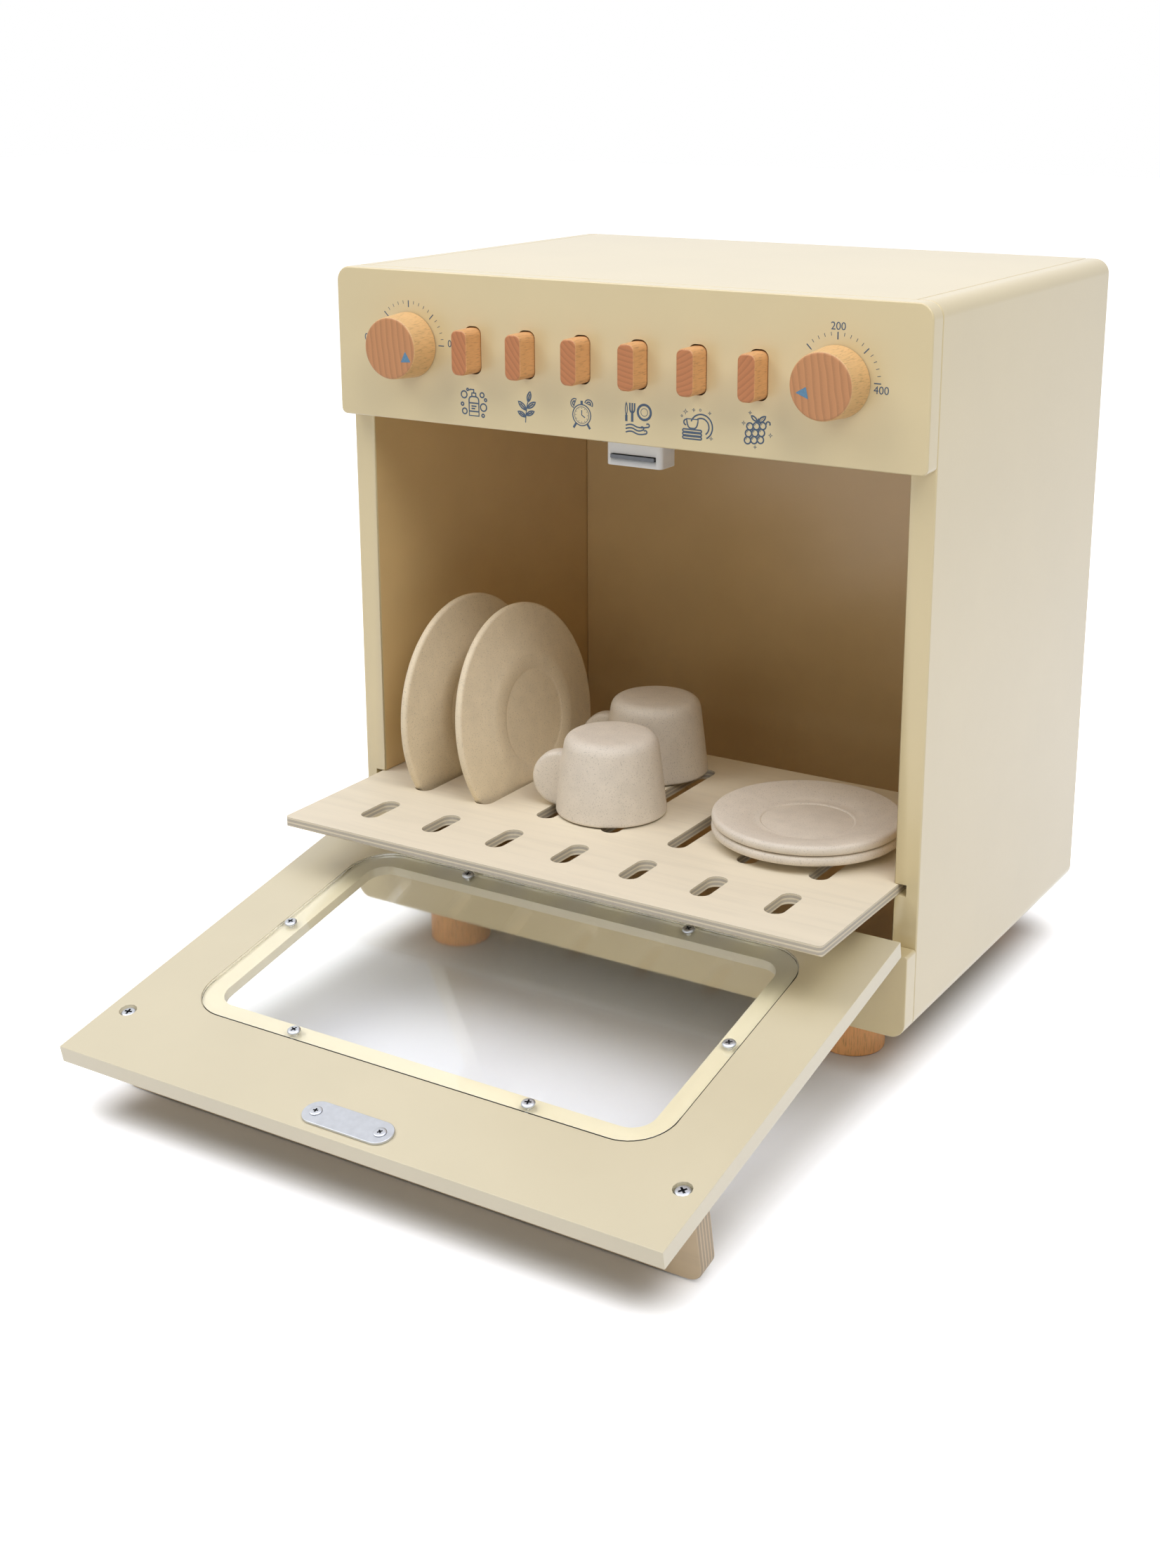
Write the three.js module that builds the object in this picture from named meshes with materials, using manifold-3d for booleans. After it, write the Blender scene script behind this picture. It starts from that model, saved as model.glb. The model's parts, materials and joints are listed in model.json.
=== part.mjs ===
// Toy dishwasher of painted boards: a drop-down door with a clear pane, a slotted plywood rack on
// grooves, two knobs, six sprung buttons, a magnetic catch and a set of toy dishes.
// Millimetres, +Z up, +Y into the cabinet. While it is built, x = 0 is the middle, z = 0 the floor
// and y = 0 the cabinet's front face; the last section centres the footprint on the origin.
import * as THREE from "three";
import { mergeVertices } from "three/addons/utils/BufferGeometryUtils.js";
import Module from "manifold-3d";

const wasm = await Module();
wasm.setup();

// Driving dimensions of the cabinet
const cabinetWidth = 300;
const cabinetHeight = 319;
const cabinetDepth = 214;
const sideBoard = 11.6;
const topBoard = 11.6;
const bottomBoard = 11.6;
const frontBoard = 9.6;
const backBoard = 9.6;
const backInset = 4.2;
const ceilingBoard = 6;
const outerRound = 7;
const fasciaHeight = 69.5;
const fasciaLowRound = 3;
const plinthHeight = 39.15;
const plinthTopRound = 1.5;

// Feet
const footHeight = 25.5;
const footRadius = 15.1;
const footFromSide = 39.4;
const footFromFront = 33;
const footChamfer = 1;

// Door and window
const doorBoard = 7.8;
const doorSideGap = 1.5;
const doorLowGap = 1.25;
const doorHighGap = 3;
const doorProud = 0.4; // how far the closed door stands out of the fascia's plane
const paneFromSide = 29.7;
const paneFromHinge = 22.3;
const paneFromTop = 44.8;
const paneRound = 20;
const paneThick = 3;
const paneLedge = 10;

// Handle across the door
const handleFromSide = 3.5;
const handleThick = 10.4;
const handleProud = 30.9;
const handleFromTop = 31.9;
const handleBar = 16;
const handlePost = 26;
const handleRound = 7;

// Rack
const rackBoard = 4.9;
const rackDepth = 181.6;
const rackOut = 65.7;
const rackTongue = 1.8;
const rackRound = 2.5;
const rackLowBevel = 1;
const rackAboveBody = 67.6;
const slotColumns = 7;
const slotFromRackSide = 33.1;
const slotWidth = 9.5;
const shortSlot = 24;
const slotFrontMargin = 19;
const slotRowGap = 18.7;
const slotRearMargin = 19.9;
const slotMargins = slotFrontMargin + slotRowGap + slotRearMargin;
const longSlot = rackDepth - shortSlot - slotMargins;
const grooveDepth = 5.8;

// Knobs and buttons
const knobFromSide = 41.4;
const controlsFromTop = 34.2;
const knobBaseRadius = 15.2;
const knobFrontRadius = 14.2;
const knobDepth = 15;
const knobEdge = 1.2;
const buttonCount = 6;
const knobToButton = 35.85; // from a knob's axis to the nearest button's
const buttonWidth = 8.4;
const buttonTall = 20.3;
const buttonProud = 11.4;
const buttonRound = 3.1;

// Dishes
const plateBeyondSlot = 7;
const plateRadius = longSlot / 2 + plateBeyondSlot;
const plateBase = 31;
const plateHigh = 7.4;
const plateThick = 4;
const plateLeans = [3.5, 8.5];
const saucerRadius = 44;
const saucerBase = 22.5;
const saucerHigh = 8.4;
const saucerThick = 4.6;
const saucerFromSide = 55; // from the cabinet's inner face to the saucers' axis
const saucerBehindFront = 102.2; // from the rack's front edge, as for the cups
const cupMouth = 26.5;
const cupTop = 22;
const cupHigh = 38.5;
const cupWall = 2.6;
const cupFrontAside = 0.3585; // to the left of the middle, in slot pitches
const cupFrontBehind = 87.7;
const cupFrontTurn = 14;
const cupRearAside = 0.6667;
const cupRearBehind = 148;
const cupRearTurn = 12;

// Clearances
const seam = 0.2; // glue line between boards
const seat = 0.3; // between a piece and what it rests on
const running = 0.35; // between a moving piece and its guide
const pinRunning = 0.09; // between the hinge pin and its knuckles
const screwed = 0.1; // between a screwed-on piece and its ground
const overrun = 1; // how far a cutter runs past the face it opens

// Fineness of the round faces: pieces of a quarter turn, and sides of a full one
const cornerPieces = 5;
const wideCornerPieces = 6;
const smallCornerPieces = 4;
const pathPieces = 2;
const rodSides = 16;
const holeSides = 12;
const knuckleSides = 14;
const knobSides = 32;
const dishSides = 36;

// Levels and planes that several pieces share
const half = cabinetWidth / 2;
const innerHalf = half - sideBoard;
const bodyBottom = footHeight;
const bodyTop = bodyBottom + cabinetHeight;
const plinthTop = bodyBottom + plinthHeight;
const fasciaBottom = bodyTop - fasciaHeight;
const backFront = cabinetDepth - backInset - backBoard;
const boardFront = frontBoard + seam;
const rackTop = bodyBottom + rackAboveBody;
const controlsZ = bodyTop - controlsFromTop;
const doorBottom = plinthTop + doorLowGap;
const doorHeight = fasciaBottom - plinthTop - doorLowGap - doorHighGap;
const doorWidth = cabinetWidth - 2 * doorSideGap;
const ceilingBottom = fasciaBottom + 2 * seam;
const ceilingTop = ceilingBottom + ceilingBoard;
const paneHeight = doorHeight - paneFromHinge - paneFromTop;
const handleLength = cabinetWidth - 2 * handleFromSide;
const handleFromHinge = doorHeight - handleFromTop;
const rackHalf = innerHalf + rackTongue;
const rackFront = -rackOut;

// Finishes
const finish = (color, roughness, metalness = 0) =>
  new THREE.MeshStandardMaterial({ color, roughness, metalness });
const paint = finish("#d9d0b4", 0.6);
const beech = finish("#c98e5e", 0.6);
const plywood = finish("#e3d2ac", 0.65);
const dish = finish("#cfc1ae", 0.7);
const steel = finish("#b9bcc0", 0.3, 1);
const whitePlastic = finish("#e9e9e6", 0.45);
const clear = new THREE.MeshStandardMaterial({
  color: "#eef2f2",
  roughness: 0.05,
  transparent: true,
  opacity: 0.3,
});

// Solids: three.js shapes turned into closed bodies that can be cut and joined
const dishwasher = new THREE.Group();

function body(geometry) {
  const bare = geometry.clone();
  bare.deleteAttribute("normal");
  bare.deleteAttribute("uv");
  const merged = mergeVertices(bare);
  return new wasm.Manifold(
    new wasm.Mesh({
      numProp: 3,
      vertProperties: merged.attributes.position.array,
      triVerts: new Uint32Array(merged.index.array),
    }),
  );
}

function surface(solid) {
  const mesh = solid.getMesh();
  const geometry = new THREE.BufferGeometry();
  geometry.setAttribute("position", new THREE.BufferAttribute(mesh.vertProperties, 3));
  geometry.setIndex(new THREE.BufferAttribute(mesh.triVerts, 1));
  geometry.computeVertexNormals();
  return geometry;
}

function add(parent, name, shape, material) {
  const geometry = shape.isBufferGeometry ? shape : surface(shape);
  const mesh = new THREE.Mesh(geometry, material);
  mesh.name = name;
  parent.add(mesh);
  return mesh;
}

// A rectangle with its own radius on each corner, from low left round to high left.
function roundedRect(x0, y0, x1, y1, radii) {
  const [a, b, c, d] = Array.isArray(radii) ? radii : [radii, radii, radii, radii];
  const shape = new THREE.Shape();
  shape.moveTo(x0 + a, y0);
  shape.lineTo(x1 - b, y0);
  if (b) shape.absarc(x1 - b, y0 + b, b, -Math.PI / 2, 0);
  shape.lineTo(x1, y1 - c);
  if (c) shape.absarc(x1 - c, y1 - c, c, 0, Math.PI / 2);
  shape.lineTo(x0 + d, y1);
  if (d) shape.absarc(x0 + d, y1 - d, d, Math.PI / 2, Math.PI);
  shape.lineTo(x0, y0 + a);
  if (a) shape.absarc(x0 + a, y0 + a, a, Math.PI, 1.5 * Math.PI);
  return shape;
}

function slab(shape, low, high, segments = cornerPieces) {
  const geometry = new THREE.ExtrudeGeometry(shape, {
    depth: high - low,
    bevelEnabled: false,
    curveSegments: segments,
  });
  return geometry.translate(0, 0, low);
}

// The same, with the shape upright in X and Z and its thickness along Y.
function upright(shape, front, back, segments = cornerPieces) {
  const geometry = slab(shape, 0, back - front, segments);
  return geometry.rotateX(Math.PI / 2).translate(0, back, 0);
}

function box(x0, y0, z0, x1, y1, z1) {
  const geometry = new THREE.BoxGeometry(x1 - x0, y1 - y0, z1 - z0);
  return geometry.translate((x0 + x1) / 2, (y0 + y1) / 2, (z0 + z1) / 2);
}

// Cylinders along each axis, given by where they start and end.
function rodZ(radius, x, y, z0, z1, sides = rodSides) {
  const geometry = new THREE.CylinderGeometry(radius, radius, z1 - z0, sides);
  return geometry.rotateX(Math.PI / 2).translate(x, y, (z0 + z1) / 2);
}

function rodY(radius, x, z, y0, y1, sides = rodSides) {
  const geometry = new THREE.CylinderGeometry(radius, radius, y1 - y0, sides);
  return geometry.translate(x, (y0 + y1) / 2, z);
}

function rodX(radius, y, z, x0, x1, sides = rodSides) {
  const geometry = new THREE.CylinderGeometry(radius, radius, x1 - x0, sides);
  return geometry.rotateZ(Math.PI / 2).translate((x0 + x1) / 2, y, z);
}

// A turned piece: the path runs up the outside from the axis and back to it.
function turned(path, sides, divisions = pathPieces) {
  return new THREE.LatheGeometry(path.getPoints(divisions), sides);
}

// A screw along +Y, its head's outer face at y = 0 and its shank pointing to +Y.
function screw({ headRadius, headHigh, shankRadius, length }) {
  const path = new THREE.Path();
  path.moveTo(0, 0);
  path.quadraticCurveTo(headRadius, 0, headRadius, headHigh);
  path.lineTo(shankRadius, headHigh);
  path.lineTo(shankRadius, length);
  path.lineTo(0, length);
  return turned(path, holeSides);
}

// Cabinet boards
const grooveFloor = rackTop - rackBoard - seat;
const grooveRoof = rackTop + running;

function sidePanel(sign) {
  const [inner, outer] = [sign * innerHalf, sign * half];
  const [x0, x1] = sign > 0 ? [inner, outer] : [outer, inner];
  const radii = sign > 0 ? [0, outerRound, outerRound, 0] : [outerRound, 0, 0, outerRound];
  const board = body(
    upright(roundedRect(x0, bodyBottom, x1, bodyTop, radii), boardFront, cabinetDepth),
  );
  const grooveEnd = sign * (innerHalf + grooveDepth);
  const grooveMouth = sign * (innerHalf - overrun);
  const groove = box(
    Math.min(grooveEnd, grooveMouth),
    frontBoard - overrun,
    grooveFloor,
    Math.max(grooveEnd, grooveMouth),
    backFront,
    grooveRoof,
  );
  return board.subtract(body(groove));
}

add(dishwasher, "left_side_panel", sidePanel(-1), paint);
add(dishwasher, "right_side_panel", sidePanel(1), paint);

const boardHalf = innerHalf - seam;
const topUnderside = bodyTop - topBoard;
add(
  dishwasher,
  "top_panel",
  box(-boardHalf, boardFront, topUnderside, boardHalf, cabinetDepth, bodyTop),
  paint,
);
const backBack = backFront + backBoard;
add(
  dishwasher,
  "back_panel",
  box(-boardHalf, backFront, bodyBottom, boardHalf, backBack, topUnderside - seam),
  paint,
);
const innerBack = backFront - seam;
const bottomTop = bodyBottom + bottomBoard;
add(
  dishwasher,
  "bottom_panel",
  box(-boardHalf, boardFront, bodyBottom, boardHalf, innerBack, bottomTop),
  paint,
);

// Hinges: two small butt hinges between the plinth's top edge and the door's lower edge
const hingeFromSide = 55;
const hingeLength = 26;
const hingeAxisOut = 1.55;
const hingeAxisUp = 0.15;
const knuckleRadius = 1.7;
const hingePinRadius = 0.8;
const leafThick = 0.45;
const leafEdge = 0.6;
const knuckleGap = 0.25;
const hingeAxis = { y: -hingeAxisOut, z: plinthTop + hingeAxisUp };
const hingeMiddles = [hingeFromSide - half, half - hingeFromSide];

// Room for the barrel, cut from the plinth and from the door.
function barrelRoom(y, z) {
  const room = hingeMiddles.map((x) => {
    const reach = hingeLength / 2 + running;
    return body(rodX(knuckleRadius + running, y, z, x - reach, x + reach, knuckleSides));
  });
  return room[0].add(room[1]);
}

// One leaf, about an axis along X at y = 0 and z = 0: a flat from low to high that reaches back,
// with knuckles on its own thirds of the barrel and room for the other leaf's.
function hingeLeaf(low, reach, ownsEnds) {
  const third = hingeLength / 3;
  const end = hingeLength / 2;
  const barrel = (radius, x0, x1) => body(rodX(radius, 0, 0, x0, x1, knuckleSides));
  const ends = (radius, gap) =>
    barrel(radius, -end - gap, -third / 2 + gap).add(barrel(radius, third / 2 - gap, end + gap));
  const middle = (radius, gap) => barrel(radius, -third / 2 - gap, third / 2 + gap);
  const away = knuckleRadius + knuckleGap;
  const flat = body(box(-end, 0, low, end, reach, low + leafThick));
  const bore = body(
    rodX(hingePinRadius + pinRunning, 0, 0, -end - overrun, end + overrun, knuckleSides),
  );
  const own = ownsEnds ? ends(knuckleRadius, 0) : middle(knuckleRadius, 0);
  const other = ownsEnds ? middle(away, knuckleGap) : ends(away, knuckleGap);
  return flat.subtract(other).add(own.subtract(other)).subtract(bore);
}

const fixedLeafLow = -hingeAxisUp + screwed;
const fixedLeafReach = hingeAxisOut + frontBoard - leafEdge;
const doorLeafLow = doorLowGap - hingeAxisUp - screwed - leafThick;
const doorLeafReach = hingeAxisOut - doorProud + doorBoard - leafEdge;
const hinge = new THREE.Group();
hinge.position.set(0, hingeAxis.y, hingeAxis.z);
dishwasher.add(hinge);
const sideNames = ["left", "right"];
hingeMiddles.forEach((x, i) => {
  const fixedLeaf = hingeLeaf(fixedLeafLow, fixedLeafReach, true);
  add(hinge, `hinge_plinth_leaf_${sideNames[i]}`, fixedLeaf, steel).position.x = x;
  const pinEnd = hingeLength / 2;
  const pin = rodX(hingePinRadius, 0, 0, x - pinEnd, x + pinEnd, knuckleSides);
  add(hinge, `hinge_pin_${sideNames[i]}`, pin, steel);
});

// Fascia with a slot for each button and a hole for each knob's bolt, and the plinth below the door
const boltRadius = 2.5;
const boltHole = boltRadius + running;
const evenly = (count, pitch) => Array.from({ length: count }, (_, i) => (i - (count - 1) / 2) * pitch);
const buttonPitch = (2 * (half - knobFromSide - knobToButton)) / (buttonCount - 1);
const buttonX = evenly(buttonCount, buttonPitch);
const knobX = [-(half - knobFromSide), half - knobFromSide];
const slotTallGap = 0.7;

function fascia() {
  const radii = [fasciaLowRound, fasciaLowRound, outerRound, outerRound];
  const face = roundedRect(-half, fasciaBottom, half, bodyTop, radii);
  const wide = buttonWidth / 2 + running;
  const tall = buttonTall / 2 + slotTallGap;
  for (const x of buttonX)
    face.holes.push(
      roundedRect(x - wide, controlsZ - tall, x + wide, controlsZ + tall, buttonRound + running),
    );
  let board = body(upright(face, 0, frontBoard));
  for (const x of knobX) {
    const hole = rodY(boltHole, x, controlsZ, -overrun, frontBoard + overrun);
    board = board.subtract(body(hole));
  }
  return board;
}
add(dishwasher, "control_fascia", fascia(), paint);

const plinthRadii = [outerRound, outerRound, plinthTopRound, plinthTopRound];
const plinthFace = roundedRect(-half, bodyBottom, half, plinthTop, plinthRadii);
const plinth = body(upright(plinthFace, 0, frontBoard)).subtract(
  barrelRoom(hingeAxis.y, hingeAxis.z),
);
add(dishwasher, "plinth_panel", plinth, paint);

// Feet
const footPath = new THREE.Path();
footPath.moveTo(0, 0);
footPath.lineTo(footRadius - footChamfer, 0);
footPath.lineTo(footRadius, footChamfer);
footPath.lineTo(footRadius, footHeight - seam);
footPath.lineTo(0, footHeight - seam);
const footX = half - footFromSide;
for (const [sideName, x] of [["left", -footX], ["right", footX]])
  for (const [endName, y] of [["front", footFromFront], ["rear", cabinetDepth - footFromFront]]) {
    const foot = turned(footPath, knobSides).rotateX(Math.PI / 2).translate(x, y, 0);
    add(dishwasher, `foot_${endName}_${sideName}`, foot, beech);
  }

// Magnetic catch under the ceiling board, with an ear and a screw on each side
const strikeThick = 1.2;
const catchWidth = 28.7;
const catchDepth = 12;
const catchHigh = 12.5;
const catchBehindFascia = 0.6;
const catchOffMiddle = 5.9;
const catchRound = 2.5;
const earLength = 7;
const earThick = 2;
const poleWidth = 22.5;
const poleThick = 1.6;
const poleDeep = 8;
const poleAboveLow = 3.5;
const catchTouch = 0.3; // left between the closed door's strike plate and the magnet plate
const catchScrew = { headRadius: 2.4, headHigh: 1.4, shankRadius: 1.1, length: 7 };
const catchFront = frontBoard + catchBehindFascia;
const catchTop = ceilingBottom - screwed;
const catchLow = catchTop - catchHigh;
const poleLow = catchLow + poleAboveLow;
const catchMiddleY = catchFront + catchDepth / 2;
const earScrewX = catchWidth / 2 + earLength / 2;
const poleHalf = poleWidth / 2;

function catchHousing() {
  const wide = catchWidth / 2;
  const back = catchFront + catchDepth;
  const radii = [catchRound, catchRound, 0, 0];
  const block = slab(roundedRect(-wide, catchFront, wide, back, radii), catchLow, catchTop);
  const reach = wide + earLength;
  const ears = box(-reach, catchFront + catchRound, catchTop - earThick, reach, back, catchTop);
  const pocket = box(
    -poleHalf - running,
    catchFront - overrun,
    poleLow - running,
    poleHalf + running,
    catchFront + poleDeep + running,
    poleLow + poleThick + running,
  );
  let housing = body(block).add(body(ears)).subtract(body(pocket));
  const holeRadius = catchScrew.shankRadius + running;
  for (const x of [-earScrewX, earScrewX]) {
    const [low, high] = [catchTop - earThick - overrun, catchTop + overrun];
    housing = housing.subtract(body(rodZ(holeRadius, x, catchMiddleY, low, high)));
  }
  return housing;
}

const latch = new THREE.Group();
latch.position.x = catchOffMiddle;
dishwasher.add(latch);
add(latch, "catch_housing", catchHousing(), whitePlastic);
const poleFront = doorBoard - doorProud + screwed + strikeThick + catchTouch;
const pole = box(-poleHalf, poleFront, poleLow, poleHalf, catchFront + poleDeep, poleLow + poleThick);
add(latch, "catch_magnet_plate", pole, steel);
const earUnderside = catchTop - earThick;
[-earScrewX, earScrewX].forEach((x, i) => {
  const headLow = earUnderside - screwed - catchScrew.headHigh;
  const fastener = screw(catchScrew).rotateX(Math.PI / 2).translate(x, catchMiddleY, headLow);
  add(latch, `catch_screw_${sideNames[i]}`, fastener, steel);
});

// Ceiling board over the wash space, and the rail behind the buttons that stands on it
let ceiling = body(box(-boardHalf, boardFront, ceilingBottom, boardHalf, innerBack, ceilingTop));
for (const x of [-earScrewX, earScrewX]) {
  const holeTop = earUnderside - screwed - catchScrew.headHigh + catchScrew.length + running;
  const radius = catchScrew.shankRadius + running;
  const hole = rodZ(radius, catchOffMiddle + x, catchMiddleY, ceilingBottom - overrun, holeTop);
  ceiling = ceiling.subtract(body(hole));
}
add(dishwasher, "inner_ceiling", ceiling, paint);

// Buttons: a block through the slot, a flange that stops behind the fascia, a peg for the spring
const flangeWide = 13;
const flangeTall = 26;
const flangeThick = 3;
const pegRadius = 2.1;
const pegLength = 5;
const springSpace = 17;
const railReachBeyond = 9;
const railTallShare = 0.75;
const flangeFront = frontBoard + seat;
const flangeBack = flangeFront + flangeThick;
const railFront = flangeBack + springSpace;

function button() {
  const outline = (w, h, r) => roundedRect(-w / 2, -h / 2, w / 2, h / 2, r);
  const block = upright(outline(buttonWidth, buttonTall, buttonRound), -buttonProud, flangeBack);
  const flange = upright(outline(flangeWide, flangeTall, 0), flangeFront, flangeBack);
  const peg = rodY(pegRadius, 0, 0, flangeBack - overrun, flangeBack + pegLength, holeSides);
  return body(block).add(body(flange)).add(body(peg));
}

// The spring is one unbroken tube along a helix; its turns follow from this formula.
const coilRadius = 3.1;
const wireRadius = 0.4;
const coilTurns = 5;
const stepsPerTurn = 8;
const wireArcs = 3;
const coilLow = flangeBack + seat;
const coilHigh = railFront - seat;

class Helix extends THREE.Curve {
  getPoint(t, target = new THREE.Vector3()) {
    const turn = 2 * Math.PI * coilTurns * t;
    const span = coilHigh - coilLow - 2 * wireRadius;
    const along = coilLow + wireRadius + span * t;
    return target.set(coilRadius * Math.cos(turn), along, coilRadius * Math.sin(turn));
  }
}

function coil() {
  const wire = new THREE.Shape();
  wire.absarc(0, 0, wireRadius, 0, 2 * Math.PI);
  return new THREE.ExtrudeGeometry(wire, {
    extrudePath: new Helix(),
    steps: coilTurns * stepsPerTurn,
    curveSegments: wireArcs,
    bevelEnabled: false,
  });
}
const coilGap = (coilHigh - coilLow - 2 * wireRadius) / coilTurns - 2 * wireRadius;
console.log(`least gap of a button spring to itself: ${coilGap.toFixed(2)} mm`);

buttonX.forEach((x, i) => {
  const group = new THREE.Group();
  group.position.set(x, 0, controlsZ);
  dishwasher.add(group);
  add(group, `button_${i + 1}`, button(), beech);
  add(group, `button_spring_${i + 1}`, coil(), steel);
});

const railHalf = buttonX[buttonCount - 1] + flangeWide / 2 + railReachBeyond;
const railTop = ceilingTop + seam + (topUnderside - ceilingTop) * railTallShare;
const rail = box(
  -railHalf,
  railFront,
  ceilingTop + seam,
  railHalf,
  railFront + frontBoard,
  railTop,
);
add(dishwasher, "spring_rail", rail, plywood);

// Knobs: each turns on a truss-headed bolt put in from behind the fascia
const boltHeadRadius = 7;
const boltHeadThick = 2;
const boltInKnob = 8.5;
const knobPath = new THREE.Path();
const knobFace = -seat - knobDepth;
const knobBoreEnd = -seat - boltInKnob - running;
const knobBore = boltRadius + running;
knobPath.moveTo(0, knobFace);
knobPath.lineTo(knobFrontRadius - knobEdge, knobFace);
knobPath.quadraticCurveTo(knobFrontRadius, knobFace, knobFrontRadius, knobFace + knobEdge);
knobPath.lineTo(knobBaseRadius, -seat);
knobPath.lineTo(knobBore, -seat);
knobPath.lineTo(knobBore, knobBoreEnd);
knobPath.lineTo(0, knobBoreEnd);
const boltPath = new THREE.Path();
const boltHeadFront = frontBoard + seat;
boltPath.moveTo(0, -seat - boltInKnob);
boltPath.lineTo(boltRadius, -seat - boltInKnob);
boltPath.lineTo(boltRadius, boltHeadFront);
boltPath.lineTo(boltHeadRadius, boltHeadFront);
const boltHeadBack = boltHeadFront + boltHeadThick;
boltPath.quadraticCurveTo(boltHeadRadius, boltHeadBack, 0, boltHeadBack);
knobX.forEach((x, i) => {
  const group = new THREE.Group();
  group.position.set(x, 0, controlsZ);
  dishwasher.add(group);
  add(group, `knob_${sideNames[i]}`, turned(knobPath, knobSides), beech);
  add(group, `knob_bolt_${sideNames[i]}`, turned(boltPath, rodSides), steel);
});

// Door: built closed about the hinge axis, then swung open until the handle meets the floor
const floorGap = 0.3;
const toDoorY = hingeAxisOut - doorProud;
const toDoorZ = doorBottom - hingeAxis.z;
const handleFoot = {
  y: toDoorY - handleProud,
  z: toDoorZ + handleFromHinge + handleThick / 2,
};
const handleReach = Math.hypot(handleFoot.y, handleFoot.z);
const openAngle =
  Math.acos((floorGap - hingeAxis.z) / handleReach) + Math.atan2(handleFoot.y, handleFoot.z);
console.log(`door opens ${THREE.MathUtils.radToDeg(openAngle).toFixed(3)} degrees from closed`);

const door = new THREE.Group();
door.position.set(0, hingeAxis.y, hingeAxis.z);
door.rotation.x = openAngle;
dishwasher.add(door);

const doorHalf = doorWidth / 2;
const doorFront = toDoorY;
const doorBack = doorFront + doorBoard;
const atDoor = (fromHinge) => toDoorZ + fromHinge;
const paneScrew = { headRadius: 2.9, headHigh: 1.2, shankRadius: 1.2, length: 6.9 };
const paneScrewInset = 4.6;
const rebateDepth = paneThick + screwed;
const paneHalf = doorHalf - paneFromSide;
const paneTop = paneFromHinge + paneHeight;
const screwSpread = 0.5; // of the pane's half width
const paneScrewPlaces = [
  [-paneHalf * screwSpread, paneFromHinge + paneScrewInset],
  [paneHalf * screwSpread, paneFromHinge + paneScrewInset],
  [-paneHalf + paneScrewInset, (paneFromHinge + paneTop) / 2],
  [paneHalf - paneScrewInset, (paneFromHinge + paneTop) / 2],
  [-paneHalf * screwSpread, paneTop - paneScrewInset],
  [paneHalf * screwSpread, paneTop - paneScrewInset],
];
const strikeLength = 43.2;
const strikeWidth = 12.9;
const strikeFromTop = 10.1;
const strikeScrewPitch = 32;
const strikeScrew = { headRadius: 2.7, headHigh: 0.4, shankRadius: 1.2, length: 6.4 };
const strikeZ = atDoor(doorHeight - strikeFromTop);
const handleScrew = { headRadius: 3.6, headHigh: 1.8, shankRadius: 1.7, length: 18 };
const handleScrewFromEnd = 7.8;
const handleScrewX = handleLength / 2 - handleScrewFromEnd;
const counterbore = 4;
const counterboreDeep = 3.2;
const handleZ = atDoor(handleFromHinge);
const holeFor = (fastener) => fastener.shankRadius + running;

function roundedFrame(margin, radius) {
  const side = paneHalf - margin;
  return roundedRect(-side, atDoor(paneFromHinge + margin), side, atDoor(paneTop - margin), radius);
}

function doorPanel() {
  const face = roundedRect(-doorHalf, toDoorZ, doorHalf, toDoorZ + doorHeight, 0);
  face.holes.push(roundedFrame(paneLedge, paneRound - paneLedge));
  let panel = body(upright(face, doorFront, doorBack, wideCornerPieces));
  const rebateFloor = doorBack - rebateDepth;
  const rebate = upright(roundedFrame(0, paneRound), rebateFloor, doorBack + overrun, wideCornerPieces);
  panel = panel.subtract(body(rebate)).subtract(barrelRoom(0, 0));
  const drill = (radius, x, z, from) => {
    panel = panel.subtract(body(rodY(radius, x, z, from, doorBack + overrun, holeSides)));
  };
  const paneScrewEnd = doorBack + paneScrew.headHigh - paneScrew.length;
  for (const [x, z] of paneScrewPlaces)
    drill(holeFor(paneScrew), x, atDoor(z), paneScrewEnd - running);
  for (const x of [-strikeScrewPitch / 2, strikeScrewPitch / 2])
    drill(holeFor(strikeScrew), x, strikeZ, doorBack + strikeThick - strikeScrew.length);
  for (const x of [-handleScrewX, handleScrewX]) {
    drill(holeFor(handleScrew), x, handleZ, doorFront - overrun);
    drill(counterbore, x, handleZ, doorBack - counterboreDeep);
  }
  return panel;
}
add(door, "door_panel", doorPanel(), paint);

function windowPane() {
  let sheet = roundedFrame(running, paneRound - running);
  for (const [x, z] of paneScrewPlaces) {
    const hole = new THREE.Path();
    hole.absarc(x, atDoor(z), holeFor(paneScrew), 0, 2 * Math.PI);
    sheet.holes.push(hole);
  }
  return upright(sheet, doorBack - paneThick, doorBack, wideCornerPieces);
}
add(door, "window_pane", windowPane(), clear);

// A screw driven into the door's inner face, its head's underside at the given depth.
function doorScrew(name, fastener, x, z, ground) {
  const geometry = screw(fastener).rotateZ(Math.PI);
  geometry.translate(x, ground + screwed + fastener.headHigh, z);
  add(door, name, geometry, steel);
}
paneScrewPlaces.forEach(([x, z], i) =>
  doorScrew(`pane_screw_${i + 1}`, paneScrew, x, atDoor(z), doorBack),
);

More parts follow.
